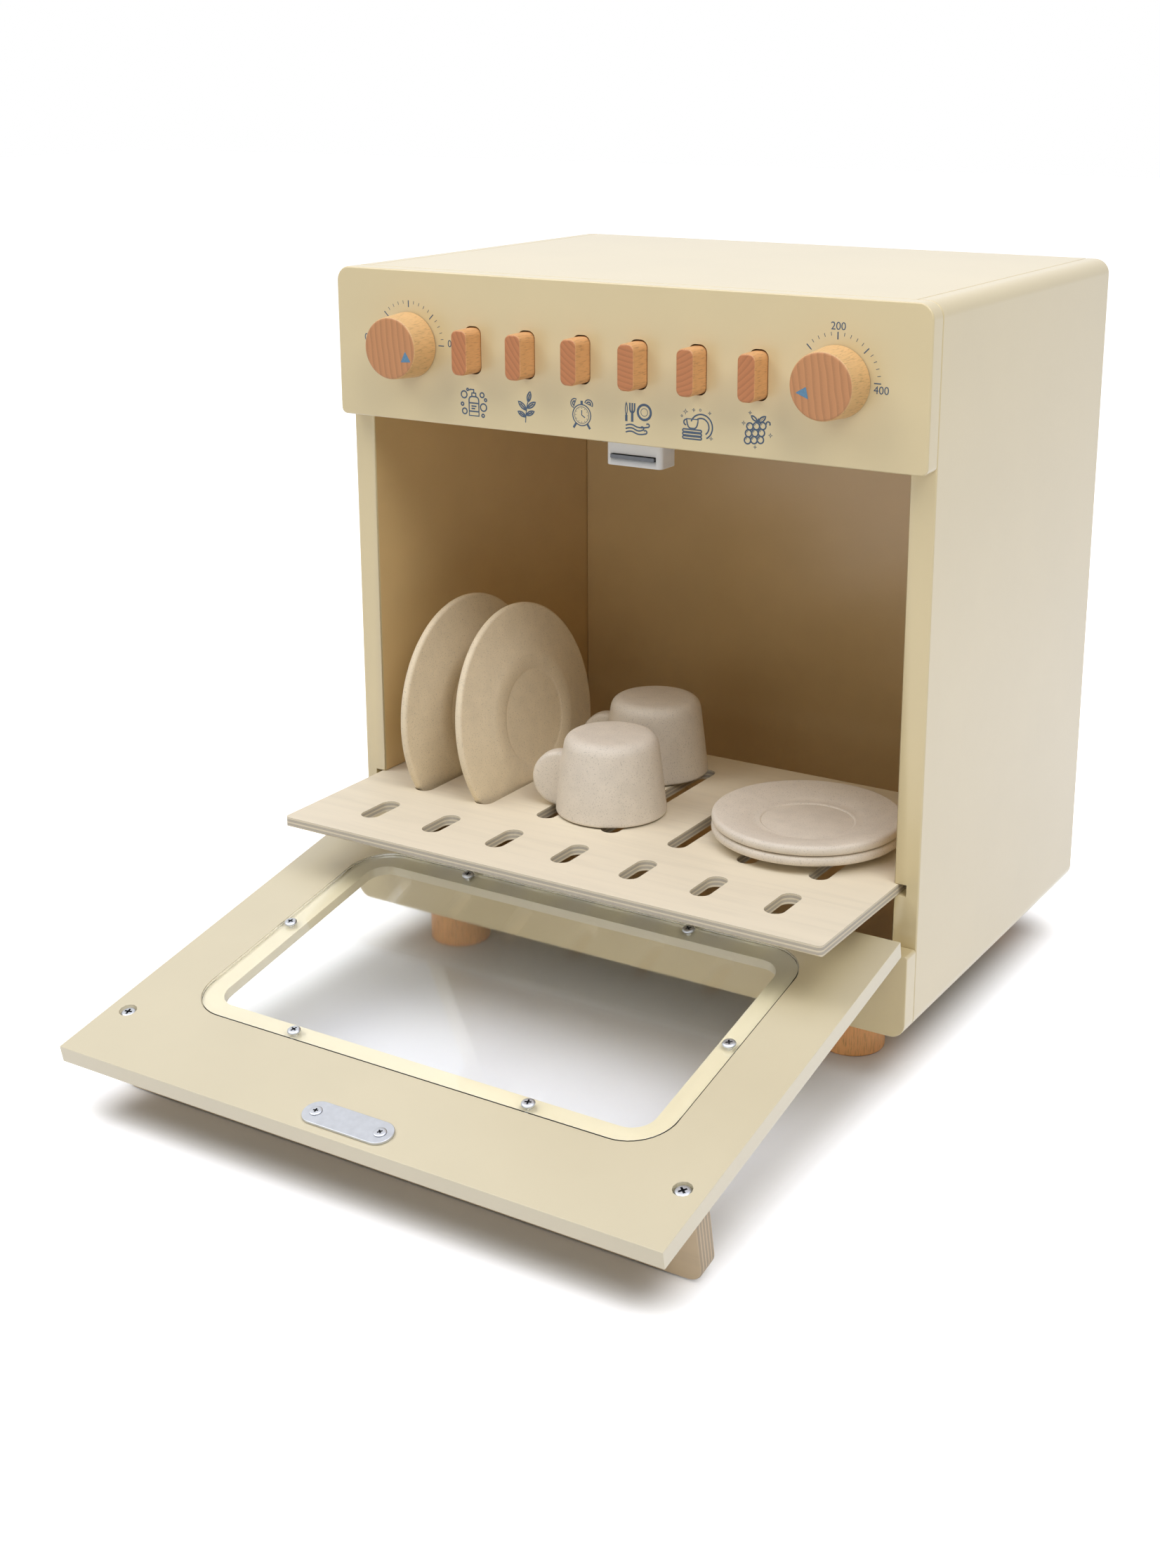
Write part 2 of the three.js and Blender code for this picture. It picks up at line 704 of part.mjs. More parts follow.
const strikeGround = doorBack + screwed;
function strikePlate() {
  const [wide, tall] = [strikeLength / 2, strikeWidth / 2];
  const plate = roundedRect(-wide, strikeZ - tall, wide, strikeZ + tall, tall);
  for (const x of [-strikeScrewPitch / 2, strikeScrewPitch / 2]) {
    const hole = new THREE.Path();
    hole.absarc(x, strikeZ, holeFor(strikeScrew), 0, 2 * Math.PI);
    plate.holes.push(hole);
  }
  return upright(plate, strikeGround, strikeGround + strikeThick);
}
add(door, "strike_plate", strikePlate(), steel);
[-1, 1].forEach((sign, i) => {
  const x = (sign * strikeScrewPitch) / 2;
  doorScrew(`strike_screw_${sideNames[i]}`, strikeScrew, x, strikeZ, strikeGround + strikeThick);
});

// Handle: a plywood board on edge, cut away behind the bar for the fingers
function handleBoard() {
  const end = handleLength / 2;
  const ground = doorFront - screwed;
  const outer = doorFront - handleProud;
  const barBack = outer + handleBar;
  const innerEnd = end - handlePost;
  const inside = handleRound / 2;
  const outline = new THREE.Shape();
  outline.moveTo(-end, ground);
  outline.lineTo(-end, outer + handleRound);
  outline.absarc(-end + handleRound, outer + handleRound, handleRound, Math.PI, 1.5 * Math.PI);
  outline.lineTo(end - handleRound, outer);
  outline.absarc(end - handleRound, outer + handleRound, handleRound, -Math.PI / 2, 0);
  outline.lineTo(end, ground);
  outline.lineTo(innerEnd, ground);
  outline.lineTo(innerEnd, barBack + inside);
  outline.absarc(innerEnd - inside, barBack + inside, inside, 0, -Math.PI / 2, true);
  outline.lineTo(-innerEnd + inside, barBack);
  outline.absarc(-innerEnd + inside, barBack + inside, inside, -Math.PI / 2, Math.PI, true);
  outline.lineTo(-innerEnd, ground);
  let board = body(slab(outline, handleZ - handleThick / 2, handleZ + handleThick / 2));
  const screwHead = doorBack - counterboreDeep + screwed + handleScrew.headHigh;
  const screwEnd = screwHead - handleScrew.length;
  for (const x of [-handleScrewX, handleScrewX]) {
    const hole = rodY(holeFor(handleScrew), x, handleZ, screwEnd - running, ground + overrun, holeSides);
    board = board.subtract(body(hole));
  }
  return board;
}
add(door, "door_handle", handleBoard(), plywood);
[-handleScrewX, handleScrewX].forEach((x, i) => {
  doorScrew(`handle_screw_${sideNames[i]}`, handleScrew, x, handleZ, doorBack - counterboreDeep);
});
hingeMiddles.forEach((x, i) => {
  const swingingLeaf = hingeLeaf(doorLeafLow, doorLeafReach, false);
  add(door, `hinge_door_leaf_${sideNames[i]}`, swingingLeaf, steel).position.x = x;
});

// Rack: a plywood board with a row of short slots and a row of long ones
const slotPitch = (2 * (rackHalf - slotFromRackSide)) / (slotColumns - 1);
const slotX = evenly(slotColumns, slotPitch);
const shortStart = rackFront + slotFrontMargin;
const longStart = shortStart + shortSlot + slotRowGap;
const rackOutline = roundedRect(-rackHalf, rackFront, rackHalf, rackFront + rackDepth, rackRound);
for (const x of slotX)
  for (const [start, length] of [[shortStart, shortSlot], [longStart, longSlot]]) {
    const wide = slotWidth / 2;
    rackOutline.holes.push(roundedRect(x - wide, start, x + wide, start + length, wide));
  }
const rackLow = rackTop - rackBoard;
const bevelCut = new THREE.Shape();
bevelCut.moveTo(rackFront - overrun, rackLow - overrun);
bevelCut.lineTo(rackFront + rackLowBevel + overrun, rackLow - overrun);
bevelCut.lineTo(rackFront - overrun, rackLow + rackLowBevel + overrun);
const bevel = slab(bevelCut, -rackHalf - overrun, rackHalf + overrun);
bevel.rotateX(Math.PI / 2).rotateZ(Math.PI / 2);
const rackSlab = body(slab(rackOutline, rackLow, rackTop, smallCornerPieces));
add(dishwasher, "rack", rackSlab.subtract(body(bevel)), plywood);

// Plates: a flat base, a sloped rim of even thickness and a rounded edge
function platePath({ radius, base, high, lip, thick }) {
  const path = new THREE.Path();
  const edge = thick / 2;
  path.moveTo(0, 0);
  path.lineTo(base, 0);
  path.quadraticCurveTo(base + edge, 0, base + thick, lip);
  path.lineTo(radius - edge, high - thick);
  path.quadraticCurveTo(radius, high - thick, radius, high - edge);
  path.quadraticCurveTo(radius, high, radius - edge, high);
  path.lineTo(base + thick, thick + lip);
  path.quadraticCurveTo(base + edge, thick, base, thick);
  path.lineTo(0, thick);
  return path;
}
const plateLip = 0.6;
const saucerLip = 0.9;
const plateSeatShort = 1.4; // the thick rim meets the slot's round ends before their tips
const standingY = longStart + longSlot / 2;
const seatHalfChord = longSlot / 2 - plateSeatShort;
const standingHigh = Math.sqrt(plateRadius ** 2 - seatHalfChord ** 2);
const platePlan = {
  radius: plateRadius,
  base: plateBase,
  high: plateHigh,
  lip: plateLip,
  thick: plateThick,
};
plateLeans.forEach((lean, i) => {
  const geometry = turned(platePath(platePlan), dishSides);
  geometry.translate(0, -plateHigh / 2, 0).rotateZ(Math.PI / 2).translate(0, 0, standingHigh);
  geometry.rotateY(-THREE.MathUtils.degToRad(lean)).translate(slotX[i], standingY, rackTop);
  add(dishwasher, `dinner_plate_${i + 1}`, geometry, dish);
});

const saucerPlan = {
  radius: saucerRadius,
  base: saucerBase,
  high: saucerHigh,
  lip: saucerLip,
  thick: saucerThick,
};
const stackPitch = saucerThick + seat;
const saucerX = innerHalf - saucerFromSide;
const saucerY = rackFront + saucerBehindFront;
["lower", "upper"].forEach((name, i) => {
  const geometry = turned(platePath(saucerPlan), dishSides).rotateX(Math.PI / 2);
  geometry.translate(saucerX, saucerY, rackTop + seat + i * stackPitch);
  add(dishwasher, `saucer_${name}`, geometry, dish);
});

// Cups: upside down, with a solid disc for a handle
const cupShoulder = 6;
const cupLipRound = 0.8;
const earRadius = 13.7;
const earThickness = 8;
const earFromAxis = 25;
const cupFloor = 3.2;

// The cup's wall, from the axis at its closed end: the wall leans in by the given amount.
function cupPath(inset, high, mouth) {
  const path = new THREE.Path();
  const lean = (z) => cupMouth + ((cupTop - cupMouth) * z) / cupHigh - inset;
  const bend = cupShoulder - inset;
  path.moveTo(0, mouth);
  path.lineTo(lean(0) - (inset ? 0 : cupLipRound), mouth);
  if (!inset) path.lineTo(lean(0), cupLipRound);
  path.lineTo(lean(high - bend), high - bend);
  path.quadraticCurveTo(lean(high), high, lean(high) - bend, high);
  path.lineTo(0, high);
  return path;
}

function cup(turn) {
  const outside = body(turned(cupPath(0, cupHigh, 0), dishSides).rotateX(Math.PI / 2));
  const hollow = turned(cupPath(cupWall, cupHigh - cupFloor, -overrun), dishSides);
  const inside = body(hollow.rotateX(Math.PI / 2));
  const disc = new THREE.CylinderGeometry(earRadius, earRadius, earThickness, knobSides);
  const ear = body(disc.translate(-earFromAxis, 0, earRadius));
  return outside.add(ear).subtract(inside).rotate([0, 0, turn]);
}
function standCup(name, aside, behind, turn) {
  const piece = add(dishwasher, `cup_${name}`, cup(turn), dish);
  piece.position.set(-aside * slotPitch, rackFront + behind, rackTop + seat);
}
standCup("front", cupFrontAside, cupFrontBehind, cupFrontTurn);
standCup("rear", cupRearAside, cupRearBehind, cupRearTurn);

// The footprint's middle goes to the origin
dishwasher.updateMatrixWorld(true);
const extent = new THREE.Box3().setFromObject(dishwasher);
dishwasher.position.y = -(extent.min.y + extent.max.y) / 2;

export default dishwasher;
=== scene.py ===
"""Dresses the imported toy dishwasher: lacquered boards, beech, plywood, toy dishes and prints.

Lengths are written in millimetres and turned to metres by mm(). The frame gives every place.
"""

import json
import math

import bmesh
import bpy
from mathutils import Matrix, Vector


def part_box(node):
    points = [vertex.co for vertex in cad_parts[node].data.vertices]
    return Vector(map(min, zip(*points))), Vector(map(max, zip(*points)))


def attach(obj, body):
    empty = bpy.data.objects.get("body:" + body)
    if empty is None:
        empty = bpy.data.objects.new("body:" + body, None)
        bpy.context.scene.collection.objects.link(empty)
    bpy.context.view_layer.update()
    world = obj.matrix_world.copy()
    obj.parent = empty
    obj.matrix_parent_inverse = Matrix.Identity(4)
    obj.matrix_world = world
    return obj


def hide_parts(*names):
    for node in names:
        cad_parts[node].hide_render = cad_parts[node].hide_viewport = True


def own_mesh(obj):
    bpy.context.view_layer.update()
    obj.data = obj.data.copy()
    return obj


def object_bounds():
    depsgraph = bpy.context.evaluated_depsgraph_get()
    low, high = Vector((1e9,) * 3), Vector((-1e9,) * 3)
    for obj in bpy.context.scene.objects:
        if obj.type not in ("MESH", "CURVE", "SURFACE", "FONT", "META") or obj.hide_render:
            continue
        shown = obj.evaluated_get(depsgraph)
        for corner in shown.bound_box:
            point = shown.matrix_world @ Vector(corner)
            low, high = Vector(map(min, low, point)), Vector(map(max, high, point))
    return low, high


bl_info = {
    "name": "Toy dishwasher",
    "version": (1, 0, 0),
    "blender": (4, 2, 0),
    "location": "3D View > Sidebar > Dishwasher",
    "description": "Builds the visible pieces of a wooden play dishwasher over its packed frame",
    "category": "Object",
}

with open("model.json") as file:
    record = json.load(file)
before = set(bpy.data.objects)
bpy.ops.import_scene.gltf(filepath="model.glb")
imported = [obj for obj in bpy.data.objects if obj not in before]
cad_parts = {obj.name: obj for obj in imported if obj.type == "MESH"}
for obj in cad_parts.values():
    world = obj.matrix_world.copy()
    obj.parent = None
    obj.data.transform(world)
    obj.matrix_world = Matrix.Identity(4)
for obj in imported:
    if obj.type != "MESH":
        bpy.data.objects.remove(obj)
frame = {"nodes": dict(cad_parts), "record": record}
cad_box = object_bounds()
record = frame["record"]
body_of_node = {
    node: name
    for name, nodes in record["behaviour"]["bodies"].items()
    for node in nodes
}
joint_named = {joint["name"]: joint for joint in record["behaviour"]["joints"]}
SIDES = ("left", "right")
PANE_SCREWS = [f"pane_screw_{i + 1}" for i in range(6)]
STRIKE_SCREWS = [f"strike_screw_{side}" for side in SIDES]
HANDLE_SCREWS = [f"handle_screw_{side}" for side in SIDES]


# ---- plain helpers


def mm(length):
    return length / 1000


def linear(code):
    """An sRGB hex colour as linear red, green and blue."""
    parts = [int(code[i : i + 2], 16) / 255 for i in (1, 3, 5)]
    return tuple(c / 12.92 if c <= 0.04045 else ((c + 0.055) / 1.055) ** 2.4 for c in parts)


def sizes():
    return bpy.context.scene.dishwasher_sizes


def colours():
    return bpy.context.scene.dishwasher_colours


def activate(piece):
    bpy.ops.object.select_all(action="DESELECT")
    piece.select_set(True)
    bpy.context.view_layer.objects.active = piece


def editing(piece, mode="EDGE"):
    activate(piece)
    bpy.ops.object.mode_set(mode="EDIT")
    bpy.ops.mesh.select_mode(type=mode)
    bpy.ops.mesh.select_all(action="DESELECT")


def object_mode():
    bpy.ops.object.mode_set(mode="OBJECT")


def applied(piece, kind, **settings):
    """Adds a modifier to the piece and applies it."""
    activate(piece)
    modifier = piece.modifiers.new(kind.lower(), kind)
    for name, value in settings.items():
        setattr(modifier, name, value)
    bpy.ops.object.modifier_apply(modifier=modifier.name)


def settled(piece):
    """Puts the piece's place, turn and scale in its mesh."""
    activate(piece)
    bpy.ops.object.transform_apply(location=True, rotation=True, scale=True)


def placed(piece, matrix):
    """Puts a piece that was built at the origin in its place."""
    piece.matrix_world = matrix
    settled(piece)


def smoothed(piece, degrees):
    """Shades the piece smooth where its faces meet at less than the angle."""
    activate(piece)
    bpy.ops.object.shade_smooth_by_angle(angle=math.radians(degrees))


def face_outwards():
    """Turns the faces of the mesh in edit mode outwards and leaves edit mode."""
    bpy.ops.mesh.select_all(action="SELECT")
    bpy.ops.mesh.normals_make_consistent(inside=False)
    object_mode()


def dressed(piece, material, body, slot, *nodes):
    """Gives a finished piece the named material, if any, in place of its own, puts it under its
    body and hides the CAD nodes it stands for.
    """
    if material:
        piece.data.materials.clear()
        piece.data.materials.append(bpy.data.materials[material])
    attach(piece, body)
    if nodes:
        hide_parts(*nodes)


def linked(name, data):
    made = bpy.data.objects.new(name, data)
    bpy.context.scene.collection.objects.link(made)
    return made


def added(operator, name, **settings):
    """The object that an operator adds, under its name."""
    bpy.ops.object.select_all(action="DESELECT")
    operator(**settings)
    bpy.context.object.name = name
    return bpy.context.object


def copied(piece, name):
    return linked(name, piece.data.copy())


def joined(pieces, name):
    activate(pieces[0])
    for piece in pieces:
        piece.select_set(True)
    bpy.ops.object.join()
    pieces[0].name = name
    return pieces[0]


def local_box(node, turn):
    """The node's lowest and highest corners, measured along the columns of a 3 by 3 matrix."""
    places = [turn.transposed() @ vertex.co for vertex in frame["nodes"][node].data.vertices]
    low = Vector([min(p[i] for p in places) for i in range(3)])
    high = Vector([max(p[i] for p in places) for i in range(3)])
    return low, high


def middle(node):
    low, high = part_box(node)
    return (low + high) / 2


# The open door is the closed one turned about the hinge; its own axes are these columns.
door_angle = math.radians(
    joint_named["door_hinge"]["range_deg"][1] + joint_named["door_pin_swing"]["range_deg"][1]
)
door_turn = Matrix.Rotation(door_angle, 3, "X")


# ---- materials

PLAIN = (1, 1, 1)


def add_node(tree, kind, links=None, stops=None, **settings):
    """Adds one shader node; links gives its sockets' values or sources, stops a ramp's colours."""
    made = tree.nodes.new(f"ShaderNode{kind}")
    for name, value in settings.items():
        setattr(made, name, value)
    for socket, value in (links or {}).items():
        if isinstance(value, bpy.types.NodeSocket):
            tree.links.new(value, made.inputs[socket])
        else:
            made.inputs[socket].default_value = value
    for i, (at, colour) in enumerate(stops or ()):
        if i < 2:
            made.color_ramp.elements[i].position = at
        else:
            made.color_ramp.elements.new(at)
        made.color_ramp.elements[i].color = (*colour, 1)
    return made


def noise(tree, at, size, detail=2, distortion=0.0):
    """Noise whose pattern has a real size in millimetres, one for all axes or one for each."""
    if isinstance(size, tuple):
        stretch = [1 / mm(part) for part in size]
        at = add_node(tree, "Mapping", {"Vector": at, "Scale": stretch}).outputs["Vector"]
        scale = 1
    else:
        scale = 1 / mm(size)
    links = {"Vector": at, "Scale": scale, "Detail": detail, "Distortion": distortion}
    return add_node(tree, "TexNoise", links).outputs["Fac"]


def ramp(tree, factor, *stops):
    return add_node(tree, "ValToRGB", {"Fac": factor}, stops).outputs["Color"]


def mottled(tree, factor, colour, dark, light):
    """The colour times dark where the factor is low and times light where it is high."""
    return ramp(tree, factor, (0.3, shade(colour, dark)), (0.7, shade(colour, light)))


def calculate(tree, operation, *values):
    return add_node(tree, "Math", dict(enumerate(values)), operation=operation).outputs[0]


def ranged(tree, value, least, most, low=0.0, high=1.0, **settings):
    """Turns the range from least to most into the one from low to high."""
    links = {"Value": value, "From Min": least, "From Max": most, "To Min": low, "To Max": high}
    return add_node(tree, "MapRange", links, **settings).outputs["Result"]


def mixed(tree, factor, first, second):
    links = {0: factor, 6: first, 7: second}
    return add_node(tree, "Mix", links, data_type="RGBA").outputs[2]


def blank_material(name, roughness, metallic=0.0, ior=1.5):
    """A new material: its tree, its shader and the outputs of its own coordinates."""
    material = bpy.data.materials.new(name)
    material.use_nodes = True
    tree = material.node_tree
    shader = tree.nodes["Principled BSDF"]
    shader.inputs["Roughness"].default_value = roughness
    shader.inputs["Metallic"].default_value = metallic
    shader.inputs["IOR"].default_value = ior
    return tree, shader, add_node(tree, "TexCoord").outputs


def shade(colour, factor):
    return tuple(c * factor for c in colour)


def stained(colour, stain):
    return tuple(c * part for c, part in zip(colour, stain))


def wired(tree, shader, colour, height=None, depth=0.0, strength=0.0, gloss=None):
    """Gives the shader its colour and, where there are any, its roughness and its bump in mm."""
    tree.links.new(colour, shader.inputs["Base Color"])
    if gloss:
        tree.links.new(gloss, shader.inputs["Roughness"])
    if height:
        links = {"Height": height, "Distance": mm(depth), "Strength": strength}
        bump = add_node(tree, "Bump", links)
        tree.links.new(bump.outputs["Normal"], shader.inputs["Normal"])


def lacquer_rolled_on_board(name, painted_inner_shade=False, stain=PLAIN):
    """Lacquer rolled on board under a satin clear coat: even cream with the roller's fine stipple.

    When asked, the faces that look into the wash space get a darker, warmer tone instead: painted
    shade for the shade in there.
    """
    tree, shader, place = blank_material(name, 0.42)
    shader.inputs["Coat Weight"].default_value = 1
    shader.inputs["Coat Roughness"].default_value = 0.28
    cloud = noise(tree, place["Object"], 55, 3)
    colour = mottled(tree, cloud, stained(colours().cream, stain), 0.965, 1.01)
    if painted_inner_shade:
        # Painted shade: inside the wash space the cream gives way to a darker, warmer tone.
        painted_shade_tone = mottled(tree, cloud, colours().inside, 0.95, 1.03)
        colour = inner_shade_mix(tree, place["Object"], colour, painted_shade_tone)
    stipple = noise(tree, place["Object"], 1.1)
    wired(tree, shader, colour, stipple, 0.05, 0.35, ranged(tree, stipple, 0, 1, 0.38, 0.5))


def inner_shade_mix(tree, at, outer, inner):
    """Blends to the painted shade tone where a face lies within the wash space's box."""
    low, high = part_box("inner_ceiling")
    margin, thin_margin = mm(0.8), mm(0.6)
    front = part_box("left_side_panel")[0].y + mm(0.9)
    limits = (
        (low.x - margin, high.x + margin),
        (front, high.y + margin),
        (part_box("bottom_panel")[1].z - thin_margin, low.z + thin_margin),
    )
    parts = add_node(tree, "SeparateXYZ", {"Vector": at})
    within = 1.0
    for axis, (least, most) in enumerate(limits):
        for operation, limit in (("GREATER_THAN", least), ("LESS_THAN", most)):
            test = calculate(tree, operation, parts.outputs[axis], limit)
            within = calculate(tree, "MULTIPLY", within, test)
    return mixed(tree, within, outer, inner)


def beech_turned_and_sanded(name, along, heart, pitch, stain=PLAIN):
    """Steamed beech: tan sides with short dark ray flecks, redder end grain with growth rings.

    along is the axis of the grain, heart the tree's middle and pitch the rings' spacing.
    """
    tree, shader, place = blank_material(name, 0.5)
    at = place["Object"]
    centred = add_node(tree, "Mapping", {"Vector": at, "Location": [-mm(c) for c in heart]})
    rings = add_node(
        tree,
        "TexWave",
        {
            "Vector": centred.outputs["Vector"],
            "Scale": 2 * math.pi / (20 * mm(pitch)),
            "Distortion": 5.5,
            "Detail": 3,
            "Detail Scale": 0.22,
            "Detail Roughness": 0.65,
        },
        wave_type="RINGS",
        rings_direction=along,
        wave_profile="SAW",
    )
    pores = noise(tree, at, 0.5, 3)
    speckled = calculate(tree, "MULTIPLY_ADD", pores, 0.5, rings.outputs["Fac"])
    pale, dark = stained(colours().beech, stain), stained(colours().beech_end, stain)
    light_ring, dense_ring, dark_ring = (shade(dark, part) for part in (1.08, 0.95, 0.86))
    end = ramp(tree, speckled, (0.2, light_ring), (0.7, dark), (0.9, dense_ring), (1.0, dark_ring))
    grain = "XYZ".index(along)
    fleck_size = tuple(4.5 if axis == grain else 0.5 for axis in range(3))
    flecks = noise(tree, at, fleck_size, 3)
    side = ramp(tree, flecks, (0.32, shade(pale, 0.74)), (0.45, pale), (0.75, shade(pale, 1.1)))
    facing = add_node(tree, "SeparateXYZ", {"Vector": place["Normal"]}).outputs[grain]
    endness = ranged(tree, calculate(tree, "MULTIPLY", facing, facing), 0.3, 0.8)
    wired(tree, shader, mixed(tree, endness, side, end), flecks, 0.06, 0.4)


def birch_plywood(name, tilt, low, ply, stain=PLAIN):
    """Birch plywood, sanded and oiled: pale veneer with faint wavy figure, edges in plies.

    tilt turns the board's thickness out of Z about X, low is where its plies start.
    """
    tree, shader, place = blank_material(name, 0.55)
    links = {"Vector": place["Object"], "Rotation": (-tilt, 0, 0)}
    levelled = add_node(tree, "Mapping", links).outputs["Vector"]
    height = add_node(tree, "SeparateXYZ", {"Vector": levelled}).outputs["Z"]
    two_plies = ranged(tree, height, low, low + 2 * mm(ply), clamp=False)
    step = calculate(tree, "FRACT", two_plies)
    pale, dark = stained(colours().birch, stain), stained(colours().ply_edge, stain)
    waves = noise(tree, levelled, (60, 5, 5), 4, 0.6)
    veneer = ramp(tree, waves, (0.3, shade(pale, 0.95)), (0.5, pale), (0.7, shade(pale, 1.02)))
    fibres = noise(tree, levelled, 0.6)
    glue = shade(dark, 0.7)
    plies = ramp(
        tree,
        calculate(tree, "MULTIPLY_ADD", fibres, 0.12, step),
        (0.05, glue),
        (0.1, shade(pale, 0.9)),
        (0.5, shade(pale, 0.94)),
        (0.55, glue),
        (0.62, dark),
        (1.0, dark),
    )
    upwards = tuple(Matrix.Rotation(tilt, 3, "X") @ Vector((0, 0, 1)))
    links = {0: place["Normal"], 1: upwards}
    facing = add_node(tree, "VectorMath", links, operation="DOT_PRODUCT").outputs["Value"]
    flatness = ranged(tree, calculate(tree, "MULTIPLY", facing, facing), 0.45, 0.7)
    wired(tree, shader, mixed(tree, flatness, plies, veneer), waves, 0.08, 0.35)


def pressed_fibre_dish(name, stain=PLAIN):
    """Pressed bamboo fibre and resin: matt beige with fine dark specks and a faint mottle."""
    tree, shader, place = blank_material(name, 0.62)
    tone = stained(colours().dish, stain)
    base = mottled(tree, noise(tree, place["Object"], 7, 4), tone, 0.95, 1.03)
    specks = noise(tree, place["Object"], 0.55, 1)
    share = ranged(tree, specks, 0.6, 0.72, 0, 0.55)
    wired(tree, shader, mixed(tree, share, base, (*shade(tone, 0.5), 1)), specks, 0.03, 0.3)


def zinc_plated_steel(name, tone, roughness):
    """Steel, plated, or darkened as painted shade: a cool metal, slightly cloudy, with fine
    handling scratches.
    """
    tree, shader, place = blank_material(name, roughness, metallic=1.0)
    base = mottled(tree, noise(tree, place["Object"], 3, 4), tone, 0.94, 1.04)
    marks = noise(tree, place["Object"], (9, 0.25, 0.25))
    spread = ranged(tree, marks, 0, 1, roughness - 0.06, roughness + 0.08)
    wired(tree, shader, base, marks, 0.02, 0.3, spread)


def moulded_abs(name, colour):
    """Injection-moulded ABS: even white with the mould's fine spark texture."""
    tree, shader, place = blank_material(name, 0.35, ior=1.54)
    grit = noise(tree, place["Object"], 0.4)
    base = ramp(tree, grit, (0.2, shade(colour, 0.97)), (0.8, colour))
    wired(tree, shader, base, grit, 0.02, 0.3)


def cast_acrylic_sheet(name):
    """Cast acrylic: clear and polished, with a barely uneven gloss from handling."""
    tree, shader, place = blank_material(name, 0.03, ior=1.49)
    shader.inputs["Transmission Weight"].default_value = 1
    shader.inputs["Specular IOR Level"].default_value = 0.25
    shader.inputs["Base Color"].default_value = (*linear("#FAFCFB"), 1)
    gloss = ranged(tree, noise(tree, place["Object"], 14, 3), 0, 1, 0.02, 0.07)
    tree.links.new(gloss, shader.inputs["Roughness"])
    # Light that makes shadows passes straight through the sheet, and about a quarter of it is lost.
    path = add_node(tree, "LightPath")
    through = add_node(tree, "BsdfTransparent", {"Color": (0.76, 0.75, 0.76, 1)})
    links = {0: path.outputs["Is Shadow Ray"], 1: shader.outputs[0], 2: through.outputs[0]}
    both = add_node(tree, "MixShader", links)
    tree.links.new(both.outputs[0], tree.nodes["Material Output"].inputs["Surface"])


def screen_ink(name, colour):
    """Screen-printed ink: a thin satin film whose cover is slightly uneven."""
    tree, shader, place = blank_material(name, 0.55)
    wired(tree, shader, mottled(tree, noise(tree, place["Object"], 0.8), colour, 0.9, 1.12))


# ---- shapes

FRONTWARDS = Matrix.Rotation(math.pi / 2, 4, "X")  # turns a piece's Z to the front
BACKWARDS = Matrix.Rotation(-math.pi / 2, 4, "X")
DOWNWARDS = Matrix.Rotation(math.pi, 4, "X")
WELD_WITHIN = mm(0.004)
FLAT_WITHIN, SHARP_FROM, SMOOTH_BELOW = 0.6, 42, 38  # degrees between two faces


def softened(node, ease, material, slot, keep=None):
    """The node's own shape with its sharp edges rounded; keep picks edges by their middle."""
    piece = linked(f"{node}_eased", frame["nodes"][node].data.copy())
    editing(piece)
    bpy.ops.mesh.select_all(action="SELECT")
    bpy.ops.mesh.remove_doubles(threshold=WELD_WITHIN)
    bpy.ops.mesh.dissolve_limited(angle_limit=math.radians(FLAT_WITHIN))
    if ease:
        bpy.ops.mesh.select_all(action="DESELECT")
        bpy.ops.mesh.edges_select_sharp(sharpness=math.radians(SHARP_FROM))
        if keep:
            shape = bmesh.from_edit_mesh(piece.data)
            for edge in shape.edges:
                if edge.select and not keep((edge.verts[0].co + edge.verts[1].co) / 2):
                    edge.select = False
            bmesh.update_edit_mesh(piece.data)
        bpy.ops.mesh.bevel(offset=ease, segments=3, affect="EDGES", clamp_overlap=True)
    object_mode()
    smoothed(piece, SMOOTH_BELOW)
    applied(piece, "WEIGHTED_NORMAL", mode="FACE_AREA", weight=80, keep_sharp=True)
    dressed(piece, material, body_of_node[node], slot, node)


def between(value, low, high, margin):
    return low - margin < value < high + margin


def at_angle(centre, radius, degrees):
    turn = math.radians(degrees)
    return (centre[0] + radius * math.cos(turn), centre[1] + radius * math.sin(turn))


def arc(centre, radius, start, end, pieces):
    """Points on an arc, in degrees counted from the first axis towards the second."""
    turns = [start + (end - start) * i / pieces for i in range(pieces + 1)]
    return [at_angle(centre, radius, turn) for turn in turns]


def curve_through(start, pull, end, pieces):
    """A quadratic curve's points after its start."""
    made = []
    for i in range(1, pieces + 1):
        t = i / pieces
        weights = ((1 - t) ** 2, 2 * t * (1 - t), t**2)
        made.append(
            tuple(sum(w * p[k] for w, p in zip(weights, (start, pull, end))) for k in (0, 1))
        )
    return made


def outline(*steps):
    """Points in order; a step of three is a curve, given by its pull, its end and its pieces."""
    made = []
    for step in steps:
        made += curve_through(made[-1], *step) if len(step) == 3 else [step]
    return made


def spun(name, profile, steps=96):
    """A turned piece about Z at the origin, from its profile of (radius, height) in millimetres."""
    first = (mm(profile[0][0]), 0, mm(profile[0][1]))
    piece = added(bpy.ops.mesh.primitive_plane_add, name, size=mm(1), location=first)
    settled(piece)
    bpy.ops.object.mode_set(mode="EDIT")
    bpy.ops.mesh.select_mode(type="VERT")
    bpy.ops.mesh.merge(type="CENTER")
    for before, after in zip(profile, profile[1:]):
        move = (mm(after[0] - before[0]), 0, mm(after[1] - before[1]))
        bpy.ops.mesh.extrude_region_move(TRANSFORM_OT_translate={"value": move})
    bpy.ops.mesh.select_all(action="SELECT")
    bpy.ops.mesh.spin(steps=steps, angle=2 * math.pi, center=(0, 0, 0), axis=(0, 0, 1))
    bpy.ops.mesh.select_all(action="SELECT")
    bpy.ops.mesh.remove_doubles(threshold=mm(0.002))
    face_outwards()
    smoothed(piece, 40)
    return piece


